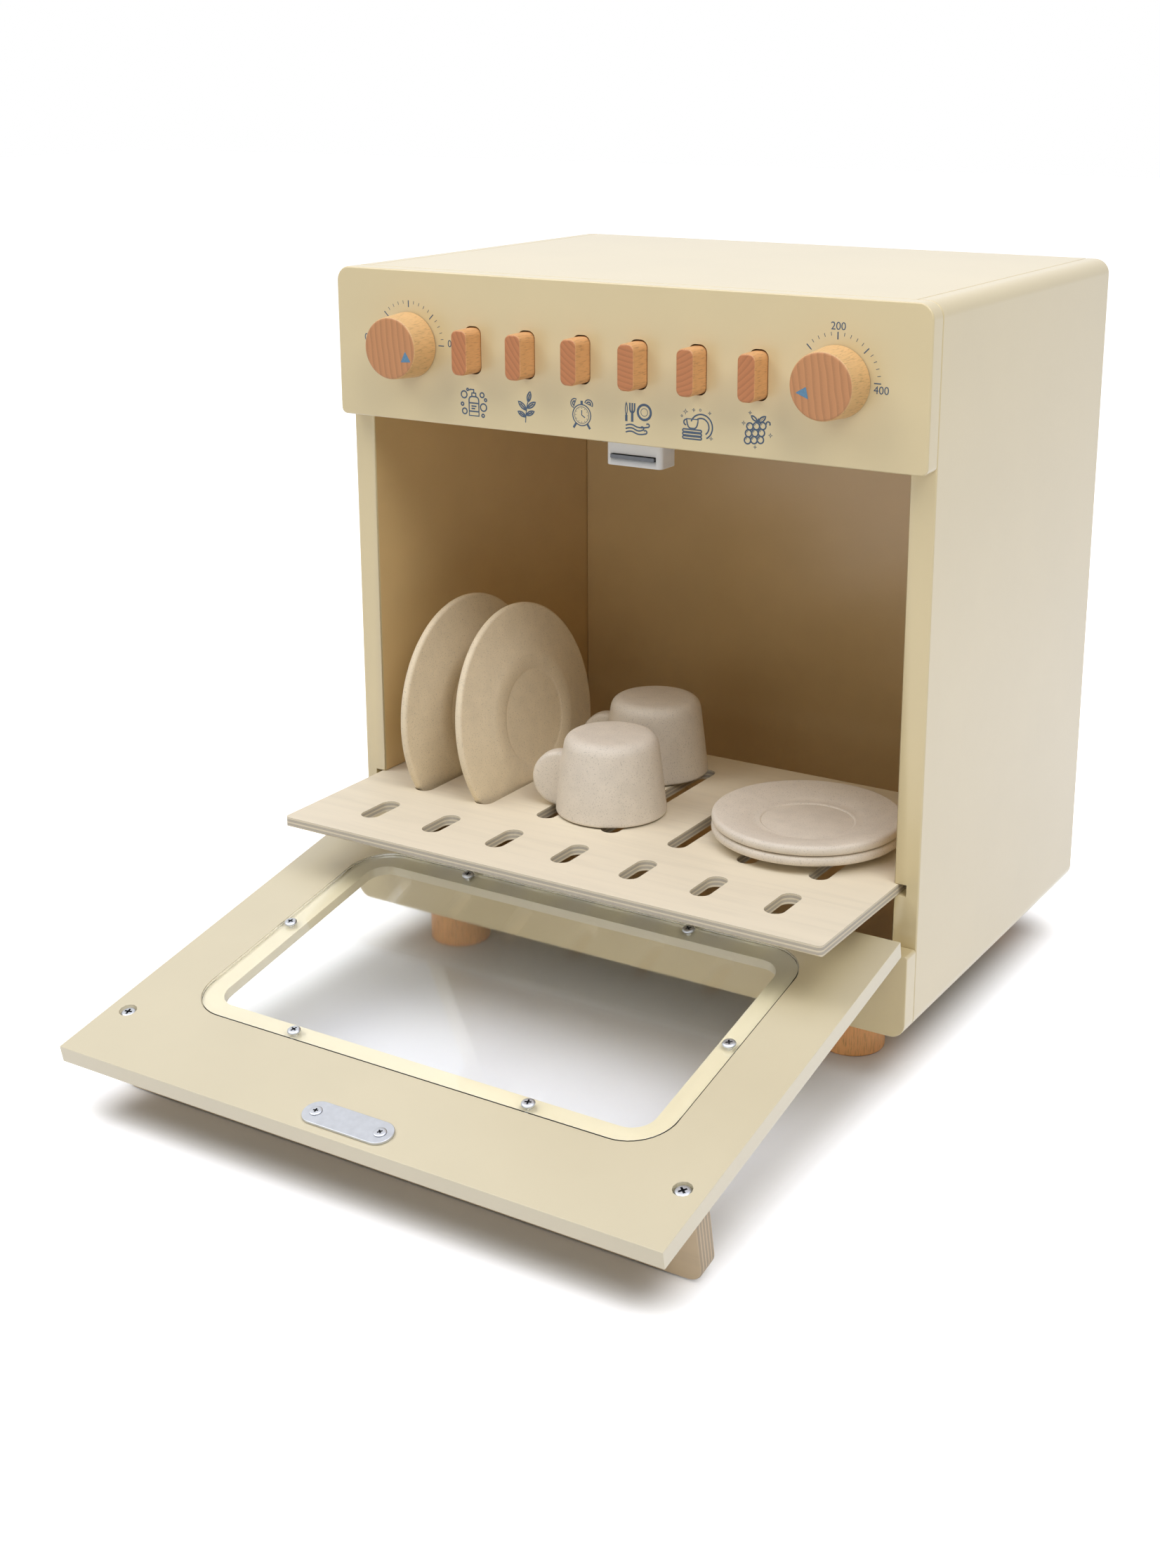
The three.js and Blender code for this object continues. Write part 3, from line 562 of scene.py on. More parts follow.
def carved(piece, tool, operation="DIFFERENCE"):
    """Cuts the tool out of the piece, or melts it in, and removes the tool."""
    applied(piece, "BOOLEAN", operation=operation, object=tool, solver="EXACT")
    bpy.data.objects.remove(tool)


def cross_screw(name, head_radius, head_high, shank_radius, length):
    """A pan-head screw at the origin, its head's top at z = 0 and its shank downwards."""
    shoulder, brim = (head_radius * 0.95, -0.04), (head_radius, -head_high * 0.6)
    profile = outline(
        (0, 0),
        (head_radius * 0.62, 0),
        (shoulder, brim, 6),
        (head_radius * 0.985, -head_high * 0.85),
        (head_radius * 0.94, -head_high),
        (shank_radius, -head_high),
        (shank_radius, -length + 2 * shank_radius),
        (shank_radius * 0.3, -length),
        (0, -length),
    )
    screw = spun(name, profile, 48)
    # A head thinner than the cross is deep has a shorter cross, inside the shank.
    wide, deep = head_radius * 0.27, max(head_high * 0.6, 0.9)
    reach = head_radius if deep < head_high else 1.9 * shank_radius
    for turn in (0, 90):
        blade = added(bpy.ops.mesh.primitive_cube_add, "blade", size=mm(1))
        blade.scale = (reach, wide, 2 * deep)
        blade.rotation_euler.z = math.radians(turn)
        settled(blade)
        carved(screw, blade)
    for finish in ("zinc_plated_steel", "steel_painted_shade_and_grime"):
        screw.data.materials.append(bpy.data.materials[finish])
    # The faces inside the cross get the darkened steel: painted shade in the recess, with some
    # grime.
    editing(screw, "FACE")
    below_top, cross_floor, cross_radius = mm(-0.05), mm(-deep * 1.02), mm(reach * 0.55)
    shape = bmesh.from_edit_mesh(screw.data)
    for face in shape.faces:
        spot = face.calc_center_median()
        near_axis = math.hypot(spot.x, spot.y) < cross_radius
        face.select = near_axis and cross_floor < spot.z < below_top
    bmesh.update_edit_mesh(screw.data)
    screw.active_material_index = 1
    bpy.ops.object.material_slot_assign()
    object_mode()
    smoothed(screw, 35)
    return screw


def stroke(name, points, width, closed=False):
    """A flat printed line through points of (x, z) in millimetres, laid in the XZ plane."""
    line = bpy.data.curves.new(name, "CURVE")
    line.dimensions = "3D"
    line.bevel_depth = mm(width / 2)
    line.bevel_resolution = 1
    line.use_fill_caps = True
    path = line.splines.new("POLY")
    path.points.add(len(points) - 1)
    path.use_cyclic_u = closed
    for point, (x, z) in zip(path.points, points):
        point.co = (mm(x), 0, mm(z), 1)
    activate(linked(name, line))
    bpy.ops.object.convert(target="MESH")
    return bpy.context.object


def ring(x, z, radius, pieces=24):
    return arc((x, z), radius, 0, 360, pieces)[:-1]


def almond(base, tip, width):
    """A leaf's outline between its base and its tip."""
    along = Vector(tip) - Vector(base)
    across = Vector((-along.y, along.x)).normalized() * width
    half_way = (Vector(base) + Vector(tip)) / 2
    there, back = tuple(half_way + across), tuple(half_way - across)
    return outline(base, (there, tip, 8), (back, base, 8))[:-1]


def star(x, z, reach):
    """A four-pointed sparkle."""
    return [at_angle((x, z), reach * (1, 0.3)[i % 2], 45 * i + 90) for i in range(8)]


# ---- the small pictures under the buttons, each as (points, closed, width) about its middle

HAIR, LIGHT, FINE, BOLD = 0.3, 0.55, 0.76, 1.2


def lines(width, *paths):
    return [(path, False, width) for path in paths]


def loops(width, *paths):
    return [(path, True, width) for path in paths]


def soap_bottle():
    body = outline(
        (-2.7, -6.4), (2.7, -6.4), (2.7, 0.6), ((2.7, 2.1), (1.0, 2.4), 6),
        (-1.0, 2.4), ((-2.7, 2.1), (-2.7, 0.6), 6),
    )
    neck = [(-1.1, 2.6), (-1.1, 4.0), (1.1, 4.0), (1.1, 2.6)]
    spout = [(0, 4.0), (0, 5.6), (-2.0, 5.6), (-2.4, 5.1)]
    rules = ((-2.7, 2.7, -0.6), (-2.7, 2.7, -4.4), (-1.4, 1.4, -2.0), (-1.4, 0.6, -3.1))
    label = [[(left, z), (right, z)] for left, right, z in rules]
    bubbles = (
        (-5.4, 3.0, 1.6), (-5.2, -4.6, 1.3), (-6.4, -1.4, 0.7), (5.3, -2.2, 1.7),
        (4.6, 3.4, 1.1), (6.5, 1.3, 0.6), (5.0, -6.0, 0.7), (-3.4, 5.4, 0.5),
    )
    rings = [ring(*bubble, 16) for bubble in bubbles]
    return loops(FINE, body) + lines(FINE, neck, spout, *label) + loops(FINE, *rings)


def leaf_sprig():
    made = lines(LIGHT, outline((-0.8, -7.0), ((-0.6, -1.0), (0.6, 2.6), 8)))
    for base, tip, width in (
        ((0.6, 2.4), (1.8, 7.2), 1.9),
        ((0.1, -0.4), (4.6, 2.6), 1.9),
        ((-0.2, -1.4), (-4.6, 2.4), 1.9),
        ((-0.5, -3.6), (3.9, -1.6), 1.7),
        ((-0.6, -4.4), (-4.9, -2.2), 1.7),
    ):
        vein = [base, tuple((Vector(base) + Vector(tip) * 3) / 4)]
        made += loops(FINE, almond(base, tip, width)) + lines(FINE, vein)
    return made


def bell_clock():
    hub = (0, -1.0)
    made = loops(0.6, ring(*hub, 4.7)) + loops(HAIR, ring(*hub, 3.7))
    made += lines(0.5, [(0, 1.2), hub, (1.7, -2.0)])
    feet = [[(side * 3.0, -4.9), (side * 4.3, -6.9)] for side in (-1, 1)]
    made += lines(BOLD, *feet, [(0, 3.8), (0, 5.4)])
    for side in (-1, 1):
        top, lean = (side * 3.6, 4.0), 45 - side * 45
        made += loops(0.6, arc(top, 2.1, lean - 20, lean + 160, 10))
        made += loops(0.7, arc(top, 1.1, lean, lean + 160, 8))
    ticks = [[at_angle(hub, far, turn) for far in (2.9, 3.3)] for turn in range(0, 360, 30)]
    return made + lines(HAIR, *ticks)


def table_setting():
    made = loops(1.25, ring(3.0, 3.0, 3.3)) + loops(HAIR, ring(3.0, 3.0, 1.7, 18))
    made += lines(BOLD, [(-3.1, 2.2), (-3.1, -1.6)]) + lines(FINE, [(-3.1, 6.6), (-3.1, 2.4)])
    made += lines(BOLD, [(-6.1, 1.2), (-6.1, -1.6)])
    made += loops(0.5, almond((-6.1, 0.8), (-6.1, 6.8), 1.0))
    tines = outline(
        (-4.3, 6.6), (-4.3, 4.0), ((-4.2, 2.6), (-3.1, 2.4), 6),
        ((-2.0, 2.6), (-1.9, 4.0), 6), (-1.9, 6.6),
    )
    made += lines(FINE, tines)
    for z, far in ((-3.4, 4.8), (-4.9, 2.0), (-6.4, 3.6)):
        wave = outline((-6.4, z), ((-3.6, z + 1.2), (-1.6, z), 5), ((0.2, z - 0.9), (far, z), 5))
        made += lines(FINE, wave + arc((far, z + 0.75), 0.75, -90, 150, 8)[1:])
    return made


def cup_and_plates():
    rim = (2.2, -0.8)
    made = lines(FINE, arc(rim, 5.4, -62, 158, 22), arc(rim, 3.7, -55, 128, 18))
    for z in (-6.4, -4.9, -3.4):
        layer = [(-6.4, z), (1.8, z)] + arc((1.8, z + 0.55), 0.55, -90, 90, 4)[1:]
        layer += [(-6.4, z + 1.1)] + arc((-6.4, z + 0.55), 0.55, 90, 270, 4)[1:-1]
        made += loops(FINE, layer)
    bowl = outline(
        (-5.0, 2.2), (0.6, 2.2), ((0.4, -1.4), (-1.2, -1.8), 5),
        (-3.2, -1.8), ((-4.8, -1.4), (-5.0, 2.2), 5),
    )
    made += loops(FINE, bowl) + lines(FINE, arc((-5.2, 0.7), 1.2, 80, 270, 8))
    sparkles = ((-5.6, 5.2, 1.2), (-1.6, 6.2, 0.8), (7.0, -5.4, 0.9), (6.2, 5.4, 0.8))
    dots = (ring(1.6, 6.4, 0.45, 10), ring(-7.4, 3.2, 0.4, 10))
    return made + loops(HAIR, *(star(*each) for each in sparkles), *dots)


def fruit_bunch():
    made = []
    for left, z in ((-3.6, 1.6), (-4.2, -1.4), (-4.6, -4.4)):
        for i in range(3):
            fruit = (left + 3.05 * i, z + 0.35 * i)
            made += loops(FINE, ring(*fruit, 1.5, 18)) + lines(HAIR, arc(fruit, 0.85, 110, 170, 4))
    made += lines(LIGHT, [(-0.2, 3.3), (0.4, 5.4)])
    made += loops(FINE, almond((0.4, 3.6), (3.8, 6.4), 1.7)) + lines(HAIR, [(0.4, 3.6), (2.9, 5.7)])
    made += loops(FINE, almond((-0.2, 4.0), (-3.0, 6.2), 1.3))
    made += lines(FINE, arc((5.0, 3.4), 0.9, 200, -40, 8))
    sparkles = ((-6.6, 2.8, 1.0), (6.2, -1.4, 1.0), (-1.0, -7.0, 0.8), (-3.6, 7.4, 0.8))
    return made + loops(HAIR, *(star(*each) for each in sparkles))


PICTURES = (soap_bottle, leaf_sprig, bell_clock, table_setting, cup_and_plates, fruit_bunch)


# ---- sizes and colours that a user may change


def length_choice(name, description, default):
    return bpy.props.FloatProperty(
        name=name, description=description, default=mm(default), min=0, unit="LENGTH"
    )


def colour_choice(name, description, code):
    return bpy.props.FloatVectorProperty(
        name=name, description=description, subtype="COLOR", default=linear(code)
    )


class DishwasherSizes(bpy.types.PropertyGroup):
    """Sizes of what the scene adds to the frame."""

    board_ease: length_choice("Board edge", "Rounding of the lacquered boards' edges", 0.7)
    ply_ease: length_choice("Plywood edge", "Rounding of the plywood's edges", 0.45)
    button_ease: length_choice("Button edge", "Rounding of a button's front edge", 0.9)
    print_proud: length_choice("Print thickness", "How far the prints stand off the board", 0.05)


class DishwasherColours(bpy.types.PropertyGroup):
    """Colours of the finishes."""

    cream: colour_choice("Cream lacquer", "The boards' lacquer", "#D9C798")
    # Painted shade: a darker, warmer cream that stands for the shade in the wash space.
    inside: colour_choice("Inside tone", "The wash space's faces", "#DBBD86")
    beech: colour_choice("Beech", "Beech seen along the grain", "#D7AE76")
    beech_end: colour_choice("Beech end grain", "Beech seen on its end", "#C1885A")
    birch: colour_choice("Birch", "The plywood's face veneer", "#E8DCC2")
    ply_edge: colour_choice("Ply end grain", "The darker plies of a plywood edge", "#BEB4A2")
    dish: colour_choice("Dishes", "The dishes' pressed fibre", "#DDD2C1")
    zinc: colour_choice("Zinc plating", "Screws, hinges and strike plate", "#C6C9CE")
    white: colour_choice("Catch", "The catch's plastic", "#EDEDEA")
    ink: colour_choice("Ink", "The fascia's prints", "#42556A")
    pointer: colour_choice("Pointer", "The knobs' pointers", "#5A84A0")


# ---- one operator for each piece or group of like pieces


class MakeFinishes(bpy.types.Operator):
    """Makes every material of the dishwasher."""

    bl_idname = "dishwasher.finishes"
    bl_label = "Finishes"

    def execute(self, context):
        lacquer_rolled_on_board("cream_lacquer")
        # The cabinet's boards carry painted shade on their faces inside the wash space.
        lacquer_rolled_on_board("cream_lacquer_with_inner_shade", painted_inner_shade=True)
        lacquer_rolled_on_board("cream_lacquer_door", stain=(1.0, 1.07, 1.3))
        controls = middle("knob_left").z * 1000
        beech_turned_and_sanded("beech_knob", "Y", (330, 0, controls + 25), 3.1)
        beech_turned_and_sanded("beech_button", "Y", (22, 0, controls + 48), 2.3, (0.92, 0.77, 0.7))
        # The feet's beech is tinted redder: painted shade, for the shade under the cabinet.
        beech_turned_and_sanded("beech_foot_painted_shade", "Z", (0, -260, 0), 3.4, (1.35, 1.1, 1.0))
        rack_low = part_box("rack")[0].z
        birch_plywood("birch_plywood_flat", 0, rack_low, 0.98)
        handle_low = local_box("door_handle", door_turn)[0].z
        birch_plywood("birch_plywood_handle", door_angle, handle_low, 1.04, (0.9, 0.8, 0.7))
        birch_plywood("birch_plywood_rail", 0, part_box("spring_rail")[0].z, 1.2)
        pressed_fibre_dish("pressed_fibre")
        # The plates' copy is tinted warmer: painted light, for the warm light the wash space throws
        # on them.
        pressed_fibre_dish("pressed_fibre_painted_bounce", (1.06, 1.0, 0.84))
        zinc_plated_steel("zinc_plated_steel", colours().zinc, 0.38)
        zinc_plated_steel("drawn_spring_wire", colours().zinc, 0.26)
        # A fifth of the zinc's brightness: painted shade for the screws' cross recesses, with some
        # grime there, and for the magnet plate in its slot.
        zinc_plated_steel("steel_painted_shade_and_grime", shade(colours().zinc, 0.2), 0.4)
        moulded_abs("white_abs", colours().white)
        cast_acrylic_sheet("clear_acrylic")
        screen_ink("slate_ink", colours().ink)
        screen_ink("pointer_ink", colours().pointer)
        return {"FINISHED"}


class EaseCabinet(bpy.types.Operator):
    """Rounds the edges of the cabinet's boards."""

    bl_idname = "dishwasher.cabinet"
    bl_label = "Cabinet boards"

    def execute(self, context):
        ease = sizes().board_ease
        groove_low, groove_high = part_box("rack")
        off_groove = lambda p: not between(p.z, groove_low.z, groove_high.z, mm(3))
        for side in SIDES:
            softened(f"{side}_side_panel", ease, "cream_lacquer_with_inner_shade", "cream_paint", off_groove)
        gentle = min(ease, mm(0.4))
        off_catch = lambda p: abs(p.x) > mm(40) or abs(p.y) > mm(30)
        for node in ("top_panel", "back_panel", "bottom_panel", "inner_ceiling"):
            keep = off_catch if node == "inner_ceiling" else None
            softened(node, gentle, "cream_lacquer_with_inner_shade", "cream_paint", keep)
        controls, hole_high, last_hole = middle("knob_left").z, mm(17), mm(140)
        off_holes = lambda p: abs(p.z - controls) > hole_high or abs(p.x) > last_hole
        softened("control_fascia", ease, "cream_lacquer", "cream_paint", off_holes)
        low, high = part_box("hinge_plinth_leaf_right")
        off_barrel = lambda p: not (between(abs(p.x), low.x, high.x, mm(2)) and p.z > low.z - mm(4))
        softened("plinth_panel", ease, "cream_lacquer_with_inner_shade", "cream_paint", off_barrel)
        softened("spring_rail", sizes().ply_ease, "birch_plywood_rail", "birch_plywood")
        return {"FINISHED"}


class EaseDoor(bpy.types.Operator):
    """Rounds the door panel, its pane and its handle, and leaves the screw holes crisp."""

    bl_idname = "dishwasher.door"
    bl_label = "Door"

    def execute(self, context):
        centres = []
        for node in PANE_SCREWS + STRIKE_SCREWS + HANDLE_SCREWS:
            low, high = local_box(node, door_turn)
            centres.append(((low.x + high.x) / 2, (low.z + high.z) / 2))
        clear_of_hole = mm(4.6)
        barrel_low, barrel_high = local_box("hinge_door_leaf_right", door_turn)

        def off_holes(point):
            own = door_turn.transposed() @ point
            near = any(math.hypot(own.x - x, own.z - z) < clear_of_hole for x, z in centres)
            at_barrel = (
                between(abs(own.x), barrel_low.x, barrel_high.x, mm(2))
                and own.z < barrel_high.z + mm(3)
            )
            return not near and not at_barrel

        softened("door_panel", sizes().board_ease, "cream_lacquer_door", "cream_paint", off_holes)
        softened("window_pane", mm(0.25), "clear_acrylic", "clear_sheet", off_holes)
        softened("door_handle", mm(0.8), "birch_plywood_handle", "birch_plywood", off_holes)
        softened("strike_plate", mm(0.2), "zinc_plated_steel", "plated_steel", off_holes)
        return {"FINISHED"}


class EaseRack(bpy.types.Operator):
    """Rounds the rack and its slots."""

    bl_idname = "dishwasher.rack"
    bl_label = "Rack"

    def execute(self, context):
        softened("rack", sizes().ply_ease, "birch_plywood_flat", "birch_plywood")
        return {"FINISHED"}


class EaseButtons(bpy.types.Operator):
    """Rounds the six buttons."""

    bl_idname = "dishwasher.buttons"
    bl_label = "Buttons"

    def execute(self, context):
        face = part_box("button_1")[0].y
        at_front = lambda p: p.y < face + mm(0.5)
        for i in range(6):
            softened(f"button_{i + 1}", sizes().button_ease, "beech_button", "beech", at_front)
        return {"FINISHED"}


class WindSprings(bpy.types.Operator):
    """Winds the springs behind the buttons from round wire."""

    bl_idname = "dishwasher.springs"
    bl_label = "Button springs"

    def execute(self, context):
        wire, turns = mm(0.4), 5
        for i in range(6):
            node = f"button_spring_{i + 1}"
            low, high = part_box(node)
            centre = (low + high) / 2
            length = high.y - low.y
            piece = added(
                bpy.ops.mesh.primitive_circle_add, f"{node}_wound",
                vertices=10, radius=wire, rotation=(math.pi / 2, 0, 0),
            )
            piece.location.x = (high.x - low.x) / 2 - wire
            settled(piece)
            applied(
                piece, "SCREW", axis="Z", angle=2 * math.pi,
                screw_offset=(length - 2 * wire) / turns, iterations=turns,
                steps=32, render_steps=32, use_merge_vertices=False,
            )
            editing(piece)
            bpy.ops.mesh.select_non_manifold()
            bpy.ops.mesh.edge_face_add()
            face_outwards()
            placed(piece, Matrix.Translation((centre.x, low.y + wire, centre.z)) @ BACKWARDS)
            smoothed(piece, 50)
            dressed(piece, "drawn_spring_wire", "cabinet", "spring_wire", node)
            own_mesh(piece)
        return {"FINISHED"}


class TurnKnobs(bpy.types.Operator):
    """Turns the two knobs and prints their pointers."""

    bl_idname = "dishwasher.knobs"
    bl_label = "Knobs"

    def execute(self, context):
        pointers = (
            ((-99.7, 309.5), (-102.2, 304.5), (-96.7, 304.9)),
            ((97.6, 307.1), (102.2, 309.8), (103.4, 304.8)),
        )
        for side, corners in zip(SIDES, pointers):
            node = f"knob_{side}"
            low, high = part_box(node)
            base, deep = (high.x - low.x) * 500, (high.y - low.y) * 1000
            front = base - 1.0
            edge, bore, bore_deep = 1.3, 2.85, 8.85
            profile = outline(
                (0, deep),
                (front - edge, deep),
                ((front, deep), (front, deep - edge), 8),
                (base - 0.05, 0.5),
                ((base, 0), (base - 0.5, 0), 4),
                (bore, 0),
                (bore, bore_deep),
                (0, bore_deep),
            )
            piece = spun(f"{node}_turned", profile)
            centre = middle(node)
            placed(piece, Matrix.Translation((centre.x, high.y, centre.z)) @ FRONTWARDS)
            dressed(piece, "beech_knob", node, "beech", node)
            self.pointer(side, corners, low.y, node)
        return {"FINISHED"}

    def pointer(self, side, corners, face, body):
        """A thin three-cornered print on the knob's face, its front corners slightly rounded."""
        piece = added(
            bpy.ops.mesh.primitive_circle_add, f"pointer_{side}",
            vertices=3, radius=mm(3), fill_type="NGON",
        )
        for vertex, (x, z) in zip(piece.data.vertices, corners):
            vertex.co = (mm(x), face, mm(z))
        editing(piece, "VERT")
        bpy.ops.mesh.select_all(action="SELECT")
        bpy.ops.mesh.bevel(offset=mm(0.35), segments=3, affect="VERTICES")
        bpy.ops.mesh.select_all(action="SELECT")
        forwards = (0, -sizes().print_proud, 0)
        bpy.ops.mesh.extrude_region_move(TRANSFORM_OT_translate={"value": forwards})
        face_outwards()
        dressed(piece, "pointer_ink", body, "beech")


class TurnFeet(bpy.types.Operator):
    """Turns one foot and sets its copies under the corners."""

    bl_idname = "dishwasher.feet"
    bl_label = "Feet"

    def execute(self, context):
        nodes = [f"foot_{end}_{side}" for end in ("front", "rear") for side in SIDES]
        low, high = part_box(nodes[0])
        radius, tall = (high.x - low.x) * 500, (high.z - low.z) * 1000
        edge, top_edge, top_edge_high = 1.1, 0.4, 0.5
        profile = outline(
            (0, 0),
            (radius - edge, 0),
            ((radius, 0), (radius, edge), 6),
            (radius, tall - top_edge_high),
            (radius - top_edge, tall),
            (0, tall),
        )
        first = spun("foot_turned", profile)
        for node in nodes:
            dressed(stood(first, node, "turned"), "beech_foot_painted_shade", "cabinet", "beech", node)
        bpy.data.objects.remove(first)
        return {"FINISHED"}


def stood(model, node, ending):
    """A copy of a model, standing where the node stands."""
    place = middle(node)
    piece = copied(model, f"{node}_{ending}")
    placed(piece, Matrix.Translation((place.x, place.y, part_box(node)[0].z)))
    return piece


def dish_profile(radius, base, high, lip, thick, well, dip, foot):
    """A dish's profile: foot disc, sloped rim of even thickness, rounded edge, shallow well."""
    edge = thick / 2
    return outline(
        (0, foot),
        (base - 8, foot),
        ((base - 7, foot), (base - 6.2, 0), 4),
        (base, 0),
        ((base + edge, 0), (base + thick, lip), 6),
        (radius - edge, high - thick),
        ((radius, high - thick), (radius, high - edge), 6),
        ((radius, high), (radius - edge, high), 6),
        (base + thick, thick + lip),
        ((base + edge, thick), (base, thick), 6),
        (well + 1.2, thick),
        ((well + 0.4, thick), (well, thick - dip), 4),
        (0, thick - dip),
    )


class PressDishes(bpy.types.Operator):
    """Presses the plates and saucers."""

    bl_idname = "dishwasher.dishes"
    bl_label = "Plates and saucers"

    def execute(self, context):
        profile = dish_profile(
            radius=57, base=31, high=7.4, lip=0.6, thick=4, well=27, dip=0.06, foot=0.5
        )
        plate = spun("plate_pressed", profile, 128)
        for i in (1, 2):
            node = f"dinner_plate_{i}"
            lift = Vector(joint_named[f"plate_lift_{i}"]["axis"])
            inward = Vector((-lift.z, 0, lift.x))
            turn = Matrix((lift.cross(inward), lift, inward)).transposed()
            low, high = local_box(node, turn)
            centre = turn @ Vector(((low.x + high.x) / 2, (low.y + high.y) / 2, low.z))
            piece = copied(plate, f"{node}_pressed")
            placed(piece, Matrix.Translation(centre) @ turn.to_4x4())
            # The plates take the warmer copy of the fibre, which holds painted light.
            dressed(piece, "pressed_fibre_painted_bounce", node, "dish_plastic", node)
        bpy.data.objects.remove(plate)
        profile = dish_profile(
            radius=44, base=22.5, high=8.4, lip=0.9, thick=4.6, well=21.2, dip=0.6, foot=0.4
        )
        saucer = spun("saucer_pressed", profile, 112)
        for name in ("saucer_lower", "saucer_upper"):
            dressed(stood(saucer, name, "pressed"), "pressed_fibre", name, "dish_plastic", name)
        bpy.data.objects.remove(saucer)
        return {"FINISHED"}


class ShapeCups(bpy.types.Operator):
    """Shapes the cups: a turned wall with a solid disc melted into it as a handle."""

    bl_idname = "dishwasher.cups"
    bl_label = "Cups"

    def execute(self, context):
        mouth, top, high, wall, floor, bend = 26.5, 22.0, 38.5, 2.6, 3.2, 6.0

        def side(z, inset=0):
            return mouth + (top - mouth) * z / high - inset

        rim, lip_high, below = side(0), 1.4, -1.0
        inner_high, inner_bend = high - floor, bend - wall
        bend_start = inner_high - inner_bend
        inner = outline(
            (0, inner_high),
            (side(inner_high, wall) - inner_bend, inner_high),
            ((side(inner_high, wall), inner_high), (side(bend_start, wall), bend_start), 6),
            (side(lip_high, wall), lip_high),
        )
        outer = outline(
            (rim - 1.3, 0.5),
            ((rim - 0.7, 0), (rim, 0.9), 5),
            (side(high - bend), high - bend),
            ((side(high), high), (side(high) - bend, high), 10),
            (0, high),
        )
        cup = spun("cup_shaped", inner + outer)
        radius, thick, out, raised, edge = 13.7, 8.0, 25.0, 0.15, 2.2
        disc = outline(
            (0, 0),
            (radius - edge, 0),
            ((radius, 0), (radius, edge), 6),
            (radius, thick - edge),
            ((radius, thick), (radius - edge, thick), 6),
            (0, thick),
        )
        ear = spun("cup_ear", disc, 64)
        there = Matrix.Translation((-mm(out), mm(thick / 2), mm(radius + raised)))
        placed(ear, there @ FRONTWARDS)
        hollow = [(0, below), (side(below, wall), below), *inner[-2::-1]]
        carved(ear, spun("cup_core", hollow))
        carved(cup, ear, "UNION")
        applied(cup, "REMESH", mode="VOXEL", voxel_size=mm(0.55), use_smooth_shade=True)
        applied(cup, "SMOOTH", factor=0.5, iterations=5)
        for end, turn in (("front", 14), ("rear", 12)):
            node = f"cup_{end}"
            around = Matrix.Rotation(math.radians(turn), 3, "Z")
            low, highest = local_box(node, around)
            axis = around @ Vector((highest.x - mm(mouth), (low.y + highest.y) / 2, low.z))
            piece = copied(cup, f"{node}_shaped")
            placed(piece, Matrix.Translation(axis) @ around.to_4x4())
            smoothed(piece, 60)
            dressed(piece, "pressed_fibre", node, "dish_plastic", node)
        bpy.data.objects.remove(cup)
        return {"FINISHED"}


class DriveScrews(bpy.types.Operator):
    """Drives the cross-head screws of the pane, strike plate, handle and catch."""

    bl_idname = "dishwasher.screws"
    bl_label = "Screws"

    def execute(self, context):
        rows = (
            # nodes, head's radius, its height here and in CAD, shank's radius, whole length
            (PANE_SCREWS, 2.9, 1.2, 1.2, 1.2, 6.9),
            (STRIKE_SCREWS, 2.7, 0.4, 0.4, 1.2, 6.4),
            (HANDLE_SCREWS, 3.6, 2.5, 1.8, 1.7, 18.7),
        )
        for nodes, head, tall, cad_tall, shank, length in rows:
            model = cross_screw(f"{nodes[0]}_model", head, tall, shank, length)
            for i, node in enumerate(nodes):
                low, high = local_box(node, door_turn)
                under_head = high.y - mm(cad_tall)
                top = Vector(((low.x + high.x) / 2, under_head + mm(tall), (low.z + high.z) / 2))
                there = Matrix.Translation(door_turn @ top) @ door_turn.to_4x4()
                self.drive(model, node, there @ BACKWARDS, 12 + 37 * i, "door")
            bpy.data.objects.remove(model)
        model = cross_screw("catch_screw_model", 2.4, 1.4, 1.1, 7)
        for i, side in enumerate(SIDES):
            node = f"catch_screw_{side}"
            place = middle(node)
            there = Matrix.Translation((place.x, place.y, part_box(node)[0].z))
            self.drive(model, node, there @ DOWNWARDS, 25 + 40 * i, "cabinet")
        bpy.data.objects.remove(model)
        return {"FINISHED"}

    def drive(self, model, node, place, turn, body):
        """Puts a copy of the screw in its place, with its cross turned by some degrees."""
        piece = copied(model, f"{node}_driven")
        placed(piece, place @ Matrix.Rotation(math.radians(turn), 4, "Z"))
        dressed(piece, None, body, "plated_steel", node)


class FitHardware(bpy.types.Operator):
    """Smooths the catch, gives hinges and bolts their plating and darkens the magnet plate's steel
    as painted shade.
    """

    bl_idname = "dishwasher.hardware"
    bl_label = "Catch and hinges"

    def execute(self, context):
        ear_screws = [middle(f"catch_screw_{side}") for side in SIDES]
        low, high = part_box("catch_magnet_plate")
        clear_of_hole = mm(2.4)

        def off_holes(point):
            near_hole = any(
                math.hypot(point.x - hole.x, point.y - hole.y) < clear_of_hole
                for hole in ear_screws
            )
            in_pocket = between(point.x, low.x, high.x, mm(1)) and between(
                point.z, low.z, high.z, mm(1.2)
            )
            return not near_hole and not in_pocket

        softened("catch_housing", mm(0.6), "white_abs", "white_plastic", off_holes)
        for parts in (("hinge_plinth_leaf", "hinge_door_leaf"), ("hinge_pin", "knob_bolt")):
            for side in SIDES:
                for part in parts:
                    softened(f"{part}_{side}", 0, "zinc_plated_steel", "plated_steel")
        # The magnet plate is darkened steel: painted shade in its slot.
        softened("catch_magnet_plate", 0, "steel_painted_shade_and_grime", "plated_steel")
        return {"FINISHED"}


